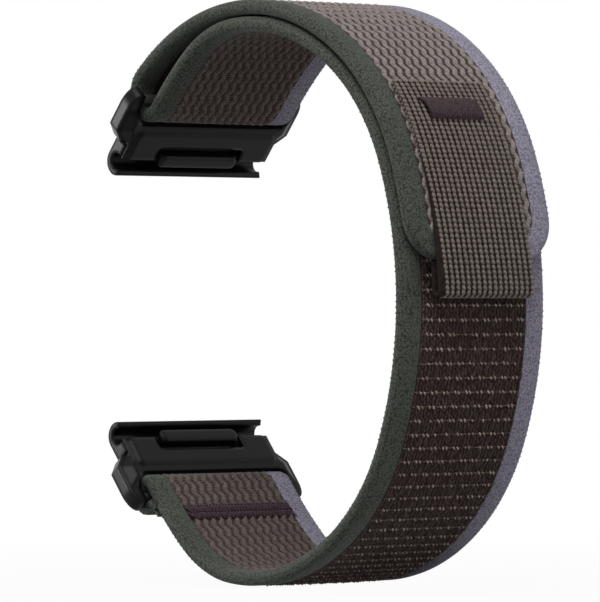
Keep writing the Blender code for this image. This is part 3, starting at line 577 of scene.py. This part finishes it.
def knit_finish(name, dark, light):
    """Close knit of the edge binding: small even loops with a little fluff."""
    f = Finish(name, 0.95, sheen=0.1, specular=0.08)
    loops = f.add("ShaderNodeTexVoronoi", {"Vector": f.place(), "Scale": 3400.0, "Randomness": 0.75})
    tone = f.blended(f.range(loops, 1.0, 0.0), f.noise(4200.0), 0.35)
    tone = f.plus(tone, f.times(f.minus(f.noise(160.0), 0.5), 0.10))
    f.shade(tone, dark, light)
    f.bump(tone, 0.14 * MM, 0.7)
    return f.material


def thread_finish(name, dark, light, sheen=0.1):
    """Spun thread: two plies that wind round it, darker between them."""
    f = Finish(name, 0.85, sheen=sheen, specular=0.08)
    plies, lay = 2.0, 0.9 * MM
    turn = f.plus(f.attribute("around"), f.over(f.attribute("along"), lay))
    ply = f.maths("SINE", f.times(turn, 2 * math.pi * plies))
    ply = f.plus(f.times(ply, 0.5), 0.5)
    tone = f.blended(ply, f.noise(2400.0, 3.0), 0.85)
    f.shade(tone, dark, light)
    f.bump(tone, 0.08 * MM, 0.6)
    return f.material


def grain_finish(name, dark, light, roughness=0.85, variety=0.5):
    """Short floats of thread, each a little lighter or darker than the next."""
    f = Finish(name, roughness, sheen=0.15, specular=0.12)
    speck = f.noise(2200.0, 3.0)
    f.shade(f.blended(f.attribute("tone"), speck, 1 - variety), dark, light, 0.15, 0.85)
    f.bump(speck, 0.04 * MM, 0.5)
    return f.material


def ground_finish(name, dark, light, rib=0.0):
    """The ground that shows between cords, loops or floats, ribbed across where it is woven."""
    f = Finish(name, 0.95, sheen=0.05, specular=0.05)
    tone = f.noise(1800.0, 4.0)
    if rib:
        strip = f.add("ShaderNodeUVMap", uv_map="strip")
        along = f.add("ShaderNodeSeparateXYZ", {0: strip})
        wave = f.maths("SINE", f.times(along, 2 * math.pi / rib))
        tone = f.blended(tone, f.range(wave, -0.2, 1.0), 0.4)
    f.shade(tone, dark, light)
    f.bump(tone, 0.1 * MM, 0.6)
    return f.material


def metal_finish(name, colour, pale, roughness, metallic, specular=0.5, edge=0.0):
    """Metal with a fine blasted grain and faint smudges, its edges broken by a small radius."""
    f = Finish(name, roughness, metallic=metallic, specular=specular)
    grit = f.noise(5400.0, 3.0)
    smudge = f.noise(150.0)
    f.shade(f.times(f.plus(grit, smudge), 0.5), colour, pale, 0.3, 0.75)
    put(f.tree, f.range(smudge, roughness - 0.06, roughness + 0.08), f.shader.inputs["Roughness"])
    rounded = f.add("ShaderNodeBevel", {"Radius": edge}, samples=8) if edge else None
    f.bump(grit, 0.008 * MM, 0.35, rounded)
    return f.material


GREEN = knit_finish("green_binding", (44, 47, 42), (86, 90, 82))
LAVENDER = knit_finish("lavender_binding", (102, 99, 112), (154, 150, 166))
# The edge stitch finishes are darker copies of the binding colours: painted shade in the stitch pits.
GREEN_SHADED_STITCH = grain_finish("green_shaded_stitch", (26, 29, 24), (52, 56, 49))
LAVENDER_SHADED_STITCH = grain_finish("lavender_shaded_stitch", (58, 55, 66), (92, 88, 104))
WEAVE_GROUND = ground_finish("weave_ground", (56, 46, 43), (90, 76, 72), 0.42 * MM)
WEAVE_CORD = thread_finish("weave_cord", (106, 98, 95), (147, 139, 136))
# Same cord as WEAVE_CORD in darker colours: painted shade for the cords inside the loop.
SHADED_WRIST_CORD = thread_finish("shaded_wrist_cord", (72, 62, 59), (108, 98, 94))
PILE_GROUND = ground_finish("pile_ground", (38, 28, 27), (62, 49, 46))
PILE_LOOP = grain_finish("pile_loop", (54, 42, 40), (84, 69, 65))
PILE_STITCH = grain_finish("pile_stitch", (124, 106, 98), (186, 168, 158))
PILE_PICK = grain_finish("pile_pick", (72, 58, 54), (118, 100, 93))
TAB_GROUND = ground_finish("tab_ground", (26, 19, 18), (50, 40, 37))
TAB_FLOAT = grain_finish("tab_float", (93, 84, 78), (132, 121, 113), variety=0.15)
# Darker than the floats: painted shade on the shaded sides of the tab's stack.
TAB_SIDE_SHADE = grain_finish("tab_side_shade", (34, 26, 24), (62, 51, 47))
TACK_THREAD = thread_finish("tack_thread", (38, 27, 32), (76, 60, 66))
SEAM_THREAD = thread_finish("seam_thread", (62, 46, 54), (106, 88, 98))
# Darker copy of the seam thread: painted shade in the valleys between the seam rows.
SEAM_SHADED_GROUND = thread_finish("seam_shaded_ground", (26, 17, 21), (44, 32, 38), sheen=0.0)
HOOK_TAPE = ground_finish("hook_tape", (22, 18, 17), (44, 36, 34))
HOOK_STEM = grain_finish("hook_stem", (30, 25, 24), (64, 55, 52), 0.6)
BLACK_METAL = metal_finish("black_metal", (11, 11, 11), (18, 18, 18), 0.31, 0.0, specular=0.10, edge=0.8 * MM)
BAR_STEEL = metal_finish("bar_steel", (120, 120, 122), (160, 160, 163), 0.35, 1.0)
SPRING_STEEL = metal_finish("spring_steel", (150, 150, 153), (190, 190, 193), 0.28, 1.0)


# Pieces

def placed(name, data):
    """A new object in the scene."""
    holder = bpy.data.objects.new(name, data)
    bpy.context.scene.collection.objects.link(holder)
    return holder


def plain_mesh(holder):
    """What a holder's curve or tree comes to, as a mesh of its own; the holder goes."""
    bpy.context.view_layer.update()
    mesh = bpy.data.meshes.new_from_object(holder.evaluated_get(bpy.context.evaluated_depsgraph_get()))
    bpy.data.objects.remove(holder)
    return mesh


def show(name, mesh, body, replaced=(), blended=None):
    """A finished piece on its body; a piece given bending ends stays where it lies, on no body."""
    piece = placed(name, mesh)
    if blended:
        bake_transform(piece)
    else:
        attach(piece, body)
    if replaced:
        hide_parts(*replaced)
    return piece


def grown(name, base, tree, **sizes):
    """What a tree makes of a base mesh, as a plain mesh."""
    holder = placed(name, base)
    modifier = holder.modifiers.new(name, "NODES")
    modifier.node_group = tree
    for item in tree.interface.items_tree:
        if item.in_out == "INPUT" and item.name in sizes:
            modifier[item.identifier] = sizes[item.name]
    holder.update_tag()
    mesh = plain_mesh(holder)
    mesh.name = name
    return mesh


def joined(name, meshes):
    """Several meshes as one, keeping their finishes."""
    holders = [placed(name, mesh) for mesh in meshes]
    first = holders[0]
    with bpy.context.temp_override(active_object=first, object=first, selected_editable_objects=holders):
        bpy.ops.object.join()
    mesh = first.data
    bpy.data.objects.remove(first)
    return mesh


def spaced(start, end, spacing=0.5 * MM):
    """Distances from start to end in even steps no longer than the spacing."""
    steps = max(2, math.ceil((end - start) / spacing))
    return [start + (end - start) * step / steps for step in range(steps + 1)]


def lengths_along(points):
    """The distance walked to reach each point."""
    steps = np.linalg.norm(np.diff(np.array(points), axis=0), axis=1)
    return np.concatenate(([0], np.cumsum(steps)))


def line_marks(line):
    return lengths_along([(x, z) for x, z, _ in line])


def guide(name, points, facings, start=0.0):
    """A line of points for a tree, with the distance along and the way each one faces."""
    mesh = bpy.data.meshes.new(name)
    mesh.from_pydata(points, [(index, index + 1) for index in range(len(points) - 1)], [])
    along = (lengths_along(points) + start).astype(np.float32)
    mesh.attributes.new("along", "FLOAT", "POINT").data.foreach_set("value", along)
    facing = mesh.attributes.new("facing", "FLOAT_VECTOR", "POINT")
    facing.data.foreach_set("vector", np.array(facings, np.float32).ravel())
    return mesh


def facing_out(heading, side):
    """The way a face of the strip looks: side is -1 for face A and 1 for face B."""
    return (side * math.sin(heading), 0, -side * math.cos(heading))


def face_guide(name, start, end, side):
    """A guide over one face of the strip."""
    points, facings = [], []
    for distance in spaced(start, end):
        x, z, heading = to_right(ROUTE.at(distance), side * core_half(distance))
        points.append((x, 0, z))
        facings.append(facing_out(heading, side))
    return guide(name, points, facings, start)


def edge_guide(name, start, end, off, side):
    """A guide along the rounded outer edge of a binding; off is a share of its thickness."""
    points = []
    for distance in spaced(start, end):
        radius = strip_thickness(distance) / 2
        x, z, _ = to_right(ROUTE.at(distance), 2 * radius * off)
        across = BAND_WIDTH / 2 - radius + radius * math.sqrt(1 - 4 * off ** 2)
        points.append((x, side * across, z))
    return guide(name, points, [(0, side, 0)] * len(points), start)


def line_guide(name, line, lift, shifts=None, across=0.0, sideways=0):
    """A guide over a line of stations; lift is to the right of its heading."""
    side = math.copysign(1, lift)
    points, facings = [], []
    for station, shift in zip(line, shifts or [0.0] * len(line)):
        x, z, heading = to_right(station, lift)
        points.append((x, across + shift, z))
        facings.append((0, sideways, 0) if sideways else facing_out(heading, side))
    return guide(name, points, facings)


def webbing_section(half_width, binding, thickness):
    """Outline (across, off, finish) of the strip; finish belongs to the face after a point."""
    radius = thickness / 2
    core = CORE_THICKNESS / 2 * thickness / BINDING_THICKNESS
    binding = min(binding, half_width - radius)
    ramp = binding - BINDING_RAMP
    steps = 8

    def rounded_edge(side, finish):
        edge = []
        for step in range(steps + 1):
            angle = math.pi * (step / steps - side / 2)
            across = side * (half_width - radius) + radius * math.cos(angle)
            edge.append((across, radius * math.sin(angle), finish))
        return edge

    outline = [(ramp * share, -core, 2) for share in (-1, -0.5, 0, 0.5)]
    outline += [(ramp, -core, 1), (binding, -radius, 1)]
    outline += rounded_edge(1, 1)
    outline.append((binding, radius, 1))
    outline += [(ramp * share, core, 3) for share in (1, 0.5, 0, -0.5)]
    outline += [(-ramp, core, 0), (-binding, radius, 0)]
    outline += rounded_edge(-1, 0)
    outline.append((-binding, -radius, 0))
    return outline


def corner_start(distance, radius):
    """How far a curve of the tail's corner has come in by now, its radius given."""
    short = min(max(TAIL_CORNER - (TAIL_END - distance), 0), radius)
    return math.sqrt(radius ** 2 - short ** 2)


def tail_half_width(distance):
    """Half the strip's width, drawn in round the corners of the tail's end."""
    return BAND_WIDTH / 2 - TAIL_CORNER + corner_start(distance, TAIL_CORNER)


def binding_start(distance):
    """Where the binding starts, from the strip's middle: it follows the corners of the tail."""
    reach = max(corner_start(distance, TAIL_CORNER - BINDING_WIDTH), BINDING_END_REACH)
    return BAND_WIDTH / 2 - TAIL_CORNER + reach


def swept_mesh(name, stations, sections, marks, finishes):
    """A closed solid along stations, with a strip UV map in metres."""
    count = len(sections[0])
    points, faces, slots, strip = [], [], [], []
    girth = lengths_along([entry[:2] for entry in (*sections[0], sections[0][0])])
    for station, section in zip(stations, sections):
        for across, off, _ in section:
            x, z, _ = to_right(station, off)
            points.append((x, across, z))
    for ring in range(len(stations) - 1):
        near, far = marks[ring], marks[ring + 1]
        for index in range(count):
            after = (index + 1) % count
            base, ahead = ring * count, (ring + 1) * count
            faces.append((base + index, ahead + index, ahead + after, base + after))
            slots.append(sections[ring][index][2])
            low, high = girth[index], girth[index + 1]
            strip += [(near, low), (far, low), (far, high), (near, high)]
    last = (len(stations) - 1) * count
    for cap in (tuple(range(count)), tuple(last + index for index in reversed(range(count)))):
        faces.append(cap)
        slots.append(2 if len(finishes) > 2 else 0)
        strip += [(0, 0)] * count
    mesh = bpy.data.meshes.new(name)
    mesh.from_pydata(points, [], faces)
    for finish in finishes:
        mesh.materials.append(finish)
    mesh.polygons.foreach_set("material_index", slots)
    layer = mesh.uv_layers.new(name="strip")
    layer.data.foreach_set("uv", np.array(strip, np.float32).ravel())
    mesh.update()
    mesh.shade_smooth()
    mesh.set_sharp_from_angle(angle=math.radians(60))
    return mesh


CORDS = cords_tree()
GRAINS = grains_tree()
BAND_FINISHES = (GREEN, LAVENDER, WEAVE_GROUND, PILE_GROUND)


# Band

def webbing(name, start, end, ends_tail=False):
    """A stretch of the strip's own cloth, with its bindings."""
    marks = spaced(start, end, 0.8 * MM)
    if ends_tail:
        marks = [mark for mark in marks if mark < TAIL_END - TAIL_CORNER]
        rounds = 14
        marks += [TAIL_END - TAIL_CORNER * (1 - math.sin(math.pi / 2 * r / rounds)) for r in range(rounds)]
        marks.append(TAIL_END - 0.02 * MM)
    stations = [ROUTE.at(mark) for mark in marks]
    sections = [
        webbing_section(tail_half_width(mark), binding_start(mark), strip_thickness(mark)) for mark in marks
    ]
    return swept_mesh(name, stations, sections, marks, BAND_FINISHES)


def fold_padding(name):
    """Fills the pocket between the band and its fold-back, next to the bar."""
    line = [to_right(ROUTE.at(PLACE["lower_bar"] + distance), lift) for distance, lift, _ in FOLD_PADDING]
    half = BAND_WIDTH / 2
    sections = [webbing_section(half, half - BINDING_WIDTH, thickness) for _, _, thickness in FOLD_PADDING]
    return swept_mesh(name, line, sections, line_marks(line), BAND_FINISHES)


def weave_cords(name, start, end, finish):
    return grown(
        name, face_guide(name, start, end, A_SIDE), CORDS, cords=CORD_COUNT, pitch=CORD_PITCH,
        wave_length=WAVE_LENGTH, wave_width=0.22 * MM, wave_height=0.05 * MM, radius=0.42 * MM,
        sink=0.17 * MM, drift=0.03, step=0.18 * MM, sides=12, finish=finish,
    )


def pile_rows(name, start, end, columns, **sizes):
    """Rows of grains over the pile face."""
    base = face_guide(name, start, end, B_SIDE)
    return grown(name, base, GRAINS, columns=columns, pitch=FACE_WIDTH / columns, **sizes)


def pile_loops(name, start, end, seed):
    return pile_rows(
        name, start, end, 34, row_pitch=0.8 * MM, stagger=0.4 * MM,
        length=1.0 * MM, width=0.30 * MM, height=0.42 * MM, tilt_change=0.12, lean=0.35,
        scatter=0.12 * MM, size_spread=0.25, missing=0.04, lift=0.02 * MM, seed=seed, finish=PILE_LOOP,
    )


def pile_stitches(name, start, end):
    """Light stitches in rows, two and then a gap."""
    return pile_rows(
        name, start, end, 28, row_pitch=PILE_ROW_PITCH * ROW_STRETCH,
        length=0.64 * MM, width=0.25 * MM, height=0.30 * MM, tilt=0.6, lean=0.2,
        scatter=0.05 * MM, size_spread=0.2, missing=0.06, lift=0.24 * MM, skip=3.0,
        seed=11, finish=PILE_STITCH,
    )


def pile_picks(name, start, end):
    """A thin thread laid across under each row of pile stitches."""
    return pile_rows(
        name, start, end, 44, row_pitch=PILE_ROW_PITCH * ROW_STRETCH,
        length=0.55 * MM, width=0.16 * MM, height=0.26 * MM, tilt=1.45, lean=0.2,
        scatter=0.04 * MM, size_spread=0.2, missing=0.1, lift=0.14 * MM, seed=13, finish=PILE_PICK,
    )


def edge_stitches(name, start, end, side, finish):
    """Small stitches sunk in along both sides of a binding's rounded edge; their darker colour is painted
    shade in the stitch pits.
    """
    return joined(name, [
        grown(
            name, edge_guide(name, start, end, off, side), GRAINS, columns=1, row_pitch=0.78 * MM,
            length=0.34 * MM, width=0.18 * MM, height=0.06 * MM, tilt=tilt, lean=0.3,
            scatter=0.05 * MM, size_spread=0.2, missing=0.05, lift=-0.01 * MM, seed=5, finish=finish,
        )
        for off, tilt in ((-0.30, 0.7), (0.30, -0.7))
    ])


def bend_window(distance):
    """Where the webbing starts and ends bending at a joint, on its outer face."""
    ends = []
    for reach in (-BEND_BEFORE, BEND_AFTER):
        x, z, _ = to_right(ROUTE.at(distance + reach), -CORE_THICKNESS / 2)
        ends.append((x, 0, z))
    return ends


def show_edges(name, start, end, body, ends=None):
    for side, finish, label in ((-1, GREEN_SHADED_STITCH, "near"), (1, LAVENDER_SHADED_STITCH, "far")):
        edge = edge_stitches(f"{name}_edge_{label}", start, end, side, finish)
        show(f"{name}_edge_{label}", edge, body, (), ends)


def build_loop():
    """The band from its fold-back to the tail's first bending line."""
    show("band_webbing", webbing("band_webbing", 0.0, PEEL_SEAM), "band", ("band_loop",))
    cords_change = PLACE["upper_bar"] + CORDS_PAST_BAR
    pile_start = PLACE["lower_bar"] + PILE_FROM_LOWER_BAR
    pile_end = PLACE["upper_bar"] - PILE_TO_UPPER_BAR
    first_row = PLACE["side"] - PILE_ROW_START
    last_row = first_row + PILE_ROWS * PILE_ROW_PITCH
    layers = (
        # Cords inside the loop take the darker copy of the cord colour: painted shade.
        ("cords_inner", weave_cords, FOLD_UNDER, cords_change, SHADED_WRIST_CORD),
        ("cords_outer", weave_cords, cords_change, PEEL_SEAM, WEAVE_CORD),
        ("fold_padding", fold_padding),
        ("pile_loops", pile_loops, pile_start, pile_end, 3),
        ("pile_stitches", pile_stitches, first_row, last_row),
        ("pile_picks", pile_picks, first_row, last_row),
    )
    for label, maker, *settings in layers:
        show(f"band_{label}", maker(f"band_{label}", *settings), "band")
    show_edges("band", FOLD_UNDER, PEEL_SEAM, "band")


def build_tail_part(name, start, end, bodies, ends, replaced=()):
    """A stretch past the loop; the one that reaches the tail's end leaves it free for its binding."""
    last = end == TAIL_END
    cloth = webbing(f"{name}_webbing", start, end, last)
    show(f"{name}_webbing", cloth, bodies, replaced, ends)
    cords_end = TAIL_END - BINDING_WIDTH - CORDS_END_GAP if last else end
    pile_end = TAIL_END + HOOK_OVERHANG - HOOK_LENGTH - PILE_HOOK_GAP if last else end
    cords = weave_cords(f"{name}_cords", start, cords_end, WEAVE_CORD)
    show(f"{name}_cords", cords, bodies, (), ends)
    loops = pile_loops(f"{name}_pile_loops", start, pile_end, 17)
    show(f"{name}_pile_loops", loops, bodies, (), ends)
    show_edges(name, start, TAIL_END - TAIL_CORNER if last else end, bodies, ends)


def build_band():
    build_loop()
    root, tip = ("band", "tail_bend"), ("tail_bend", "tail_end")
    build_tail_part("tail_root", PEEL_SEAM, BEND_MIDDLE, root, bend_window(PLACE["peel"]))
    build_tail_part("tail", BEND_MIDDLE, TAIL_END, tip, bend_window(PLACE["tail"]), tip)


# Pull tab and hook patch

def tail_station(distance, lift):
    """Station over the tail, lifted off its centre line, outward positive."""
    return to_right(ROUTE.at(PLACE["tail"] + distance), -lift)


def tab_line():
    """The tab's centre line: outer ply, fold and back ply, closely spaced."""
    turn = TAIL_LENGTH + TAB_OVERHANG
    steps, fold_steps, back_steps = 80, 16, 12
    line = [tail_station(TAB_TOP + (turn - TAB_TOP) * step / steps, TAB_LIFT) for step in range(steps + 1)]
    fold_radius = (TAB_LIFT - TAB_BACK_LIFT) / 2
    line += [run_point(line[-1], -180, fold_radius, step / fold_steps) for step in range(1, fold_steps)]
    back_start = TAIL_LENGTH + SEAT_GAP
    for step in range(back_steps + 1):
        x, z, heading = tail_station(turn + (back_start - turn) * step / back_steps, TAB_BACK_LIFT)
        line.append((x, z, heading - math.pi))
    return line


def strip_outline(width, thickness):
    half, off, ease = width / 2, thickness / 2, thickness / 4
    edge = [(half - ease, -off, 0), (half, ease - off, 0), (half, off - ease, 0), (half - ease, off, 0)]
    return edge + [(-across, depth, 0) for across, depth, _ in reversed(edge)]


def tab_swing(line):
    """How far along the tab's outer ply each station lies, 0 to 1, slow at first."""
    length = TAIL_LENGTH + TAB_OVERHANG - TAB_TOP
    return [min(mark / length, 1) ** 2.5 for mark in line_marks(line)]


def tab_outlines(swings, shifts):
    """The tab's section at each station, its near selvedge wider towards the fold: a strip of dark ground,
    partly the cloth's edge and partly painted shade along the tab's near side.
    """
    outline = strip_outline(TAB_WIDTH - 0.5 * MM, TAB_CLOTH)
    outlines = []
    for shift, swing in zip(shifts, swings):
        selvedge = 0.1 * MM + TAB_SHADED_SELVEDGE * swing
        outlines.append([
            (across + shift - (selvedge if across < 0 else 0), off, face) for across, off, face in outline
        ])
    return outlines


def tab_threads(line, shifts):
    """Floats over both faces of the tab, and grains along its two edges."""
    meshes = []
    for label, lift in (("outer", -TAB_CLOTH / 2), ("inner", TAB_CLOTH / 2)):
        name = f"tab_floats_{label}"
        meshes.append(grown(
            name, line_guide(name, line, lift, shifts), GRAINS, columns=TAB_COLUMNS,
            pitch=(TAB_WIDTH + 0.3 * MM) / TAB_COLUMNS, row_pitch=0.68 * MM,
            length=0.88 * MM, width=0.66 * MM, height=0.56 * MM, tilt=0.5, lean=0.12,
            scatter=0.03 * MM, size_spread=0.06, lift=-0.08 * MM, seed=23, finish=TAB_FLOAT,
        ))
    # The grains along both edges are dark: painted shade on the sides of the tab.
    for side in (-1, 1):
        across = side * (TAB_WIDTH / 2 - 0.30 * MM)
        meshes.append(grown(
            "tab_edge", line_guide("tab_edge", line, 0.001 * MM, shifts, across, side), GRAINS,
            columns=1, row_pitch=0.71 * MM, length=0.60 * MM, width=0.5 * MM, height=0.3 * MM,
            lean=0.1, scatter=0.02 * MM, size_spread=0.05, seed=29, finish=TAB_SIDE_SHADE,
        ))
    return joined("pull_tab_floats", meshes)


def build_pull_tab():
    """The tab is sewn on a little askew, so its stations shift off the strap's middle."""
    line = tab_line()
    swings = tab_swing(line)
    shifts = [TAB_LEAN + TAB_SWING * swing for swing in swings]
    bodies = ("tail_end", "pull_tab")
    ends = []
    for reach in (-TAB_BEND_REACH, TAB_BEND_REACH):
        x, z, _ = tail_station(TAB_BEND + reach, TAB_LIFT + TAB_PLY / 2)
        ends.append((x, 0, z))
    outlines = tab_outlines(swings, shifts)
    cloth = swept_mesh("pull_tab_webbing", line, outlines, line_marks(line), (TAB_GROUND,))
    show("pull_tab_webbing", cloth, bodies, ("pull_tab_root", "pull_tab"), ends)
    show("pull_tab_floats", tab_threads(line, shifts), bodies, (), ends)


def build_hook_patch():
    """Tape with hook stems, sewn to the tail's inner face."""
    start = PLACE["tail"] + TAIL_LENGTH + HOOK_OVERHANG - HOOK_LENGTH
    steps = 30
    line = [to_right(ROUTE.at(start + HOOK_LENGTH * s / steps), HOOK_DROP) for s in range(steps + 1)]
    outline = strip_outline(TAB_WIDTH, HOOK_TAPE_THICKNESS)
    tape = swept_mesh("hook_patch_tape", line, [outline] * len(line), line_marks(line), (HOOK_TAPE,))
    show("hook_patch_tape", tape, "tail_end", ("hook_patch",))
    columns = 18
    stems = grown(
        "hook_patch_stems", line_guide("hook_patch_stems", line, HOOK_TAPE_THICKNESS / 2), GRAINS,
        columns=columns, pitch=(TAB_WIDTH - 1.0 * MM) / columns, row_pitch=0.8 * MM, stagger=0.4 * MM,
        length=0.3 * MM, width=0.3 * MM, height=0.5 * MM, lean=0.3, scatter=0.05 * MM,
        size_spread=0.1, lift=0.05 * MM, seed=31, finish=HOOK_STEM,
    )
    show("hook_patch_stems", stems, "tail_end")


# Stitching

def satin_bar(name, start, end, lift, rise, width, pitch, thread, finish, slant=0.0, across=0.0):
    """A row of close threads laid over a padded strip, from one edge to the other."""
    steps = 10
    points, facings = [], []
    for step in range(steps + 1):
        share = step / steps
        arch = math.sqrt(max(0, 1 - (2 * share - 1) ** 2))
        x, z, heading = to_right(ROUTE.at(start + (end - start) * share), -(lift + rise * arch))
        points.append((x, across, z))
        facings.append(facing_out(heading, -1))
    return grown(
        name, guide(name, points, facings, (start - end) / 2), CORDS, cords=round(width / pitch),
        pitch=pitch, radius=thread, slant=slant, step=0.2 * MM, sides=6, finish=finish,
    )


def build_bar_tack():
    start = PLACE["tail"] + TACK_START
    tack = satin_bar(
        "bar_tack_thread", start, start + TACK_LENGTH, lift=TAB_LIFT + TAB_PLY / 2 - 0.1 * MM,
        rise=0.65 * MM, width=TACK_WIDTH - 0.6 * MM, pitch=0.44 * MM, thread=0.24 * MM,
        finish=TACK_THREAD, slant=0.28, across=TACK_ACROSS,
    )
    show("bar_tack_thread", tack, "tail_end", ("tab_bar_tack",))


def build_seam():
    """Rows of thread over a padded ground, darker than the thread: painted shade in the valleys between the
    rows.
    """
    low = PLACE["lower_bar"] + SEAM_START
    rows = [satin_bar(
        "seam_shaded_ground", low, low + sum(length for length, _ in SEAM_ROWS),
        lift=CORE_THICKNESS / 2 - 0.02 * MM, rise=0.20 * MM, width=FACE_WIDTH, pitch=0.3 * MM,
        thread=0.2 * MM, finish=SEAM_SHADED_GROUND,
    )]
    for index, (length, slant) in enumerate(SEAM_ROWS):
        rows.append(satin_bar(
            f"seam_row_{index}", low, low + length, lift=CORE_THICKNESS / 2 + 0.22 * MM,
            rise=0.16 * MM, width=FACE_WIDTH, pitch=0.56 * MM, thread=0.09 * MM,
            finish=SEAM_THREAD, slant=slant,
        ))
        low += length
    show("seam_thread", joined("seam_thread", rows), "band", ("seam_stitches",))


# Connectors

def dress_connectors():
    for end in ("upper", "lower"):
        for part in ("connector_frame", "hook_jaw", "latch_slider"):
            dress(f"{end}_{part}", BLACK_METAL)
        dress(f"{end}_strap_bar", BAR_STEEL)
        for side in ("near", "far"):
            dress(f"{end}_jaw_rivet_{side}", BAR_STEEL)
            replace_spring(end, side)


def dress(node, finish):
    """A CAD node's own finish."""
    mesh = frame["nodes"][node].data
    mesh.materials.clear()
    mesh.materials.append(finish)
    mesh.polygons.foreach_set("material_index", [0] * len(mesh.polygons))


def coil(name, middle, along, near, far):
    """A finely wound spring of round wire round a line, from near to far along it."""
    curve = bpy.data.curves.new(name, "CURVE")
    curve.dimensions = "3D"
    curve.bevel_depth = SPRING_WIRE
    curve.bevel_resolution = 2
    curve.use_fill_caps = True
    per_curl = 14
    across = Vector((0, 1, 0))
    square = along.cross(across)
    line = curve.splines.new("POLY")
    line.points.add(SPRING_CURLS * per_curl)
    for index, knot in enumerate(line.points):
        share = index / (SPRING_CURLS * per_curl)
        angle = 2 * math.pi * SPRING_CURLS * share
        place = near + SPRING_WIRE + (far - near - 2 * SPRING_WIRE) * share
        point = middle + along * (place - middle.dot(along))
        point += (across * math.cos(angle) + square * math.sin(angle)) * SPRING_RADIUS
        knot.co = (*point, 1)
    mesh = plain_mesh(placed(name, curve))
    mesh.materials.clear()
    mesh.materials.append(SPRING_STEEL)
    return mesh


def replace_spring(end, side):
    """A finely wound latch spring in place of the plain one."""
    node = f"{end}_latch_spring_{side}"
    slide = next(joint for joint in frame["joints"] if joint["name"] == f"{end}_latch_slide")
    back = Vector(slide["axis"])
    low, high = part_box(node)
    middle = (low + high) / 2
    corners = [v.co.dot(back) for v in frame["nodes"][node].data.vertices]
    near, far = min(corners), max(corners)
    mesh = coil(node, middle, back, near, far)
    piece = show(f"{end}_spring_coil_{side}", mesh, f"{end}_connector", (node,))
    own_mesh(piece)


# Studio

def build_camera():
    distance = FOCAL_PIXELS / PIXELS_PER_METRE
    azimuth = math.radians(VIEW_AZIMUTH)
    longest = max(IMAGE_WIDTH, IMAGE_HEIGHT)
    lens = bpy.data.cameras.new("photo_view")
    lens.sensor_width = SENSOR_WIDTH
    lens.lens = FOCAL_PIXELS * SENSOR_WIDTH / longest
    lens.shift_x = (IMAGE_WIDTH / 2 - ORIGIN_PIXEL_X) / longest
    lens.clip_start = 0.05
    camera = placed("photo_view", lens)
    camera.location = (math.sin(azimuth) * distance, -math.cos(azimuth) * distance, 0)
    camera.rotation_euler = (math.pi / 2, 0, azimuth)
    bpy.context.scene.camera = camera


def seen_directly(tree):
    """1 for the camera, mirrors and glass, 0 for the light that falls on the strap."""
    path = tree.nodes.new("ShaderNodeLightPath")
    rays = (path.outputs[name] for name in ("Is Camera Ray", "Is Glossy Ray", "Is Transmission Ray"))
    seen = next(rays)
    for ray in rays:
        seen = add_node(tree, "ShaderNodeMath", {0: seen, 1: ray}, operation="MAXIMUM").outputs[0]
    return seen


def build_floor():
    """A wide pale floor just under the strap, white but for the strap's shadow."""
    reach = 6.0
    floor_z = cad_box[0][2] - 0.5 * MM
    mesh = bpy.data.meshes.new("floor")
    corners = [(-reach, -reach), (reach, -reach), (reach, reach), (-reach, reach)]
    mesh.from_pydata([(x, y, floor_z) for x, y in corners], [], [(0, 1, 2, 3)])
    floor = placed("floor", mesh)
    f = Finish("pale_floor", 0.95, specular=0.0)
    f.shader.inputs["Base Color"].default_value = (*from_srgb(170, 170, 170), 1)
    white = f.add("ShaderNodeEmission", {"Color": (1, 1, 1, 1), "Strength": 1.0})
    from_strap = f.add("ShaderNodeVectorMath", {0: f.place()}, output=1, operation="LENGTH")
    far_off = f.add("ShaderNodeMapRange", {
        "Value": from_strap, "From Min": 60 * MM, "From Max": 180 * MM, "To Min": 0.96, "To Max": 1.0,
    })
    share = f.times(seen_directly(f.tree), far_off)
    blend = f.add("ShaderNodeMixShader", {0: share, 1: f.shader.outputs[0], 2: white})
    put(f.tree, blend, f.tree.nodes["Material Output"].inputs[0])
    mesh.materials.append(f.material)


def build_room():
    """A dim white room, which the camera and the metal see as plain white."""
    world = bpy.data.worlds.new("studio")
    bpy.context.scene.world = world
    world.use_nodes = True
    tree = world.node_tree
    room = tree.nodes["Background"]
    room.inputs["Color"].default_value = (1, 1, 1, 1)
    room.inputs["Strength"].default_value = ROOM_LEVEL
    backdrop = add_node(tree, "ShaderNodeBackground", {"Color": (1, 1, 1, 1), "Strength": 1.0})
    blend = add_node(
        tree, "ShaderNodeMixShader", {0: seen_directly(tree), 1: room.outputs[0], 2: backdrop.outputs[0]}
    )
    put(tree, blend.outputs[0], tree.nodes["World Output"].inputs[0])


def build_lamps():
    """Large soft lamps: level is what a white face square to one shows."""
    for name, azimuth, elevation, size, level in LAMPS:
        lamp = bpy.data.lights.new(name, "AREA")
        lamp.energy = level * (math.pi * LAMP_DISTANCE) ** 2
        lamp.size = size
        holder = placed(name, lamp)
        turn, rise = math.radians(azimuth), math.radians(elevation)
        level_part = math.cos(rise)
        aim = Vector((math.sin(turn) * level_part, -math.cos(turn) * level_part, math.sin(rise)))
        holder.location = LAMP_DISTANCE * aim
        holder.rotation_euler = (-holder.location).to_track_quat("-Z", "Y").to_euler()


build_camera()
build_floor()
build_room()
build_lamps()
build_band()
build_pull_tab()
build_bar_tack()
build_seam()
build_hook_patch()
dress_connectors()
bpy.context.scene.view_settings.view_transform = "Standard"
